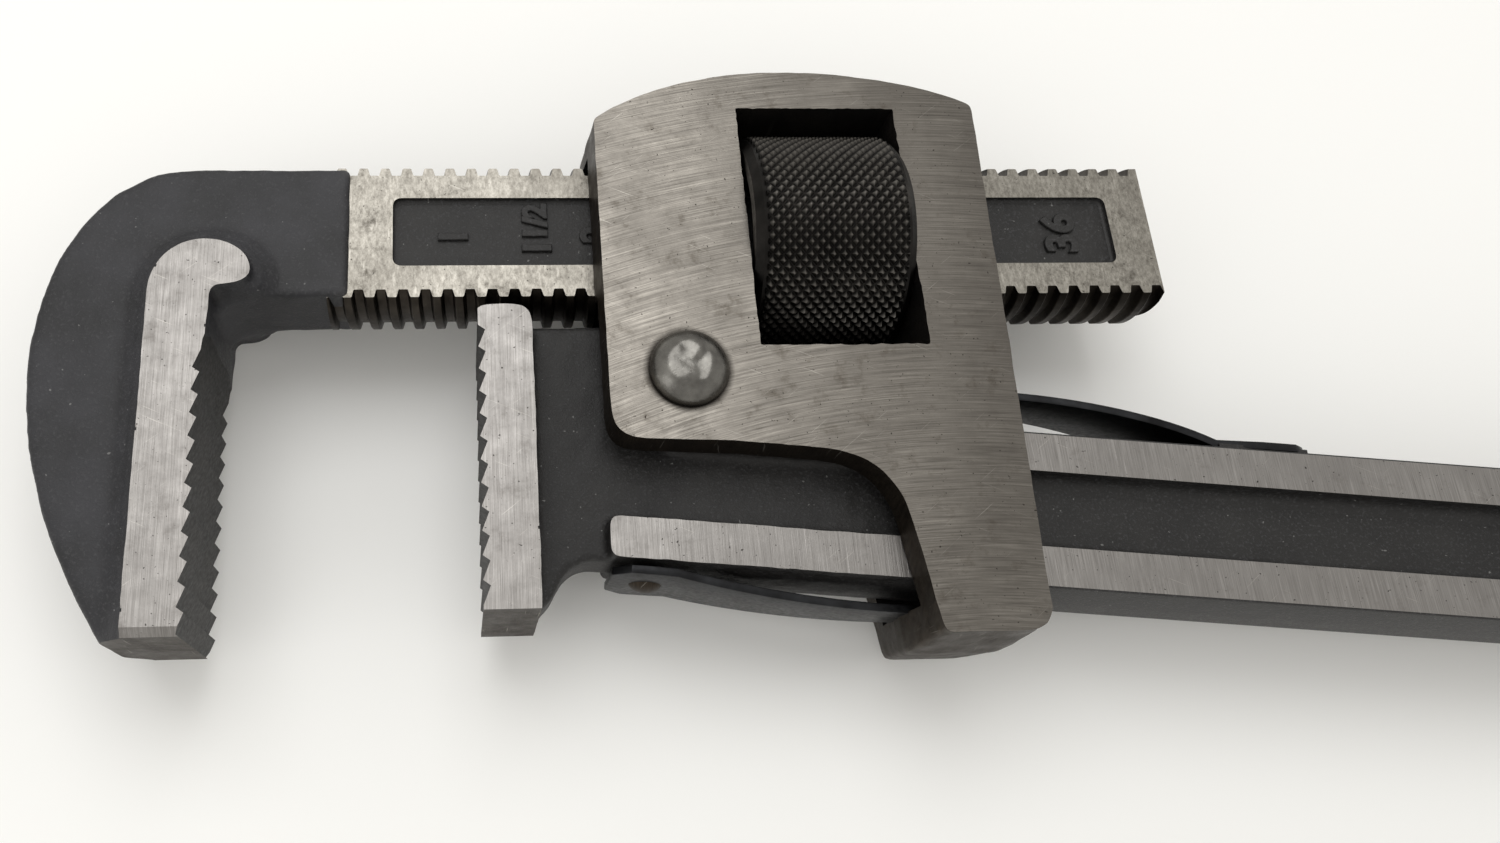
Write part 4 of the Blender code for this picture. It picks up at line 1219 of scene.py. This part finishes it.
gap = 0.3 + SPRING_THICK / 2
lower_start, lower_flat = LOWER_RIVET_X - 6.5, LOWER_RIVET_X + 4.5
touch = (39.3, lower_touch)
lower_line = [(x, bar_bottom(x) - gap) for x in (lower_start, lower_start + 3.0, LOWER_RIVET_X)]
lower_line += curve((lower_flat, bar_bottom(lower_flat) - gap),
                    (lower_flat + 10.0, bar_bottom(lower_flat + 10.0) - gap - 1.8),
                    (touch[0] - 17.3, touch[1] + 0.7), touch, 20)
lower_line += [(48.3, lower_touch + 0.2), (52.3, lower_touch + 0.7)]
lower_spring = strip("lower_spring", lower_line, LOWER_RIVET_X, touch[0], 2.6)
touch = (frame_high.x - 5.0, upper_touch)
upper_flat, upper_end = UPPER_RIVET_X - 8.0, UPPER_RIVET_X + 8.0
raised = gap + SEAT_RISE
upper_line = [(touch[0] - 7.0, upper_touch - 1.4), (touch[0] - 3.0, upper_touch - 0.3)]
upper_line += curve(touch, (touch[0] + 12.6, upper_touch - 0.7),
                    (upper_flat - 11.0, upper_touch - 4.8),
                    (upper_flat, bar_top(upper_flat) + raised), 20)
upper_line += [(x, bar_top(x) + raised) for x in (UPPER_RIVET_X, upper_end - 2.0, upper_end)]
upper_spring = strip("upper_spring", upper_line, UPPER_RIVET_X, touch[0], 1.2)


def at(x, y):
    """A point of the drawing's middle plane, in the frame's metres."""
    return tuple(PIN + Vector((x, y, 0)) * MM)


for obj, node, start, end in (
        (lower_spring, "lower_leaf_spring", at(lower_flat, lower_touch), at(40.0, lower_touch)),
        (upper_spring, "upper_leaf_spring", at(upper_flat, upper_touch), at(56.0, upper_touch))):
    mesh = obj.data
    mesh.transform(Matrix.Translation(PIN) @ Matrix.Scale(MM, 4))
    mesh.shade_smooth()
    mesh.set_sharp_from_angle(angle=math.radians(30))
    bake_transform(obj)
    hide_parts(node)
    print(obj.name, len(mesh.vertices), "vertices")


# %% Rivet the springs
def rivet(name, x, upper, node):
    axis = Vector((math.sin(BAR_SLOPE), math.cos(BAR_SLOPE), 0))
    side = 1 if upper else -1
    across = BAR_HEIGHT + SEAT_RISE if upper else 0.0
    seat = across + side * (0.3 + SPRING_THICK)
    dome = [(seat + side * 0.1, 3.1)] + arc(seat + side * 0.1, 0, side * 1.9, 3.1, 80, 4, 8)
    profile = [(across - side * 8.0, 0), (across - side * 8.0, 1.7), (seat - side * 0.1, 1.7)]
    profile += [(seat - side * 0.1, 3.0)] + dome + [(seat + side * 2.0, 0)]
    piece = to_object(name, turned(profile, Vector((x, bar_bottom(x), 0)), axis, 32), nose_steel)
    return finish_piece(piece, "handle_body", node, crease=45.0)


rivet("lower_rivet", LOWER_RIVET_X, False, "lower_spring_rivet")
rivet("upper_rivet", UPPER_RIVET_X, True, "upper_spring_rivet")

# %% [markdown]
# ## The table, the light and the camera
#
# A pale table and one large softbox are enough for steel: what gives metal its form is the slow
# change from the bright box to the darker room in its reflections.


# %% Set the stage
table_bm = bmesh.new()
bmesh.ops.create_grid(table_bm, x_segments=1, y_segments=1, size=4.0)
table = to_object("table", table_bm)
paper = bpy.data.materials.new("pale_matt_paper")
paper.use_nodes = True
paper_shader = paper.node_tree.nodes["Principled BSDF"]
paper_shader.inputs["Base Color"].default_value = srgb("#f7f7f5")
paper_shader.inputs["Roughness"].default_value = 0.9
table.data.materials.append(paper)


def softbox(name, place, target, width, height, power):
    light = bpy.data.lights.new(name, "AREA")
    light.shape = "RECTANGLE"
    light.size, light.size_y = width, height
    light.energy = power
    obj = bpy.data.objects.new(name, light)
    bpy.context.scene.collection.objects.link(obj)
    obj.location = place
    obj.rotation_euler = (Vector(target) - Vector(place)).to_track_quat("-Z", "Y").to_euler()
    return obj


head = PIN.copy()
softbox("key_softbox", head + Vector((-0.12, 0.38, 0.85)), head, 0.75, 0.6, 3.2)
softbox("fill_softbox", head + Vector((-0.9, -0.5, 0.6)), head, 0.6, 0.6, 1.2)
world = bpy.data.worlds.new("studio")
bpy.context.scene.world = world
world.use_nodes = True
sky = world.node_tree.nodes["Background"]
sky.inputs["Color"].default_value = srgb("#efede9")
sky.inputs["Strength"].default_value = 0.90
bpy.context.scene.view_settings.view_transform = "Standard"

# %% Place the camera
right = Vector((0.99787, -0.03391, 0.05565))
up = Vector((0.01295, 0.94009, 0.34067))
back = right.cross(up)
spot = PIN + Vector((-40.3, -76.3, 200.7)) * MM
camera_data = bpy.data.cameras.new("camera")
camera_data.sensor_width = 36.0
camera_data.lens = 28.33
camera_data.shift_x = 0.1467
camera_data.clip_start = 0.01
camera = bpy.data.objects.new("camera", camera_data)
bpy.context.scene.collection.objects.link(camera)
camera.matrix_world = Matrix.Translation(spot) @ Matrix((right, up, back)).transposed().to_4x4()
bpy.context.scene.camera = camera
print("camera at", [round(v, 3) for v in spot])
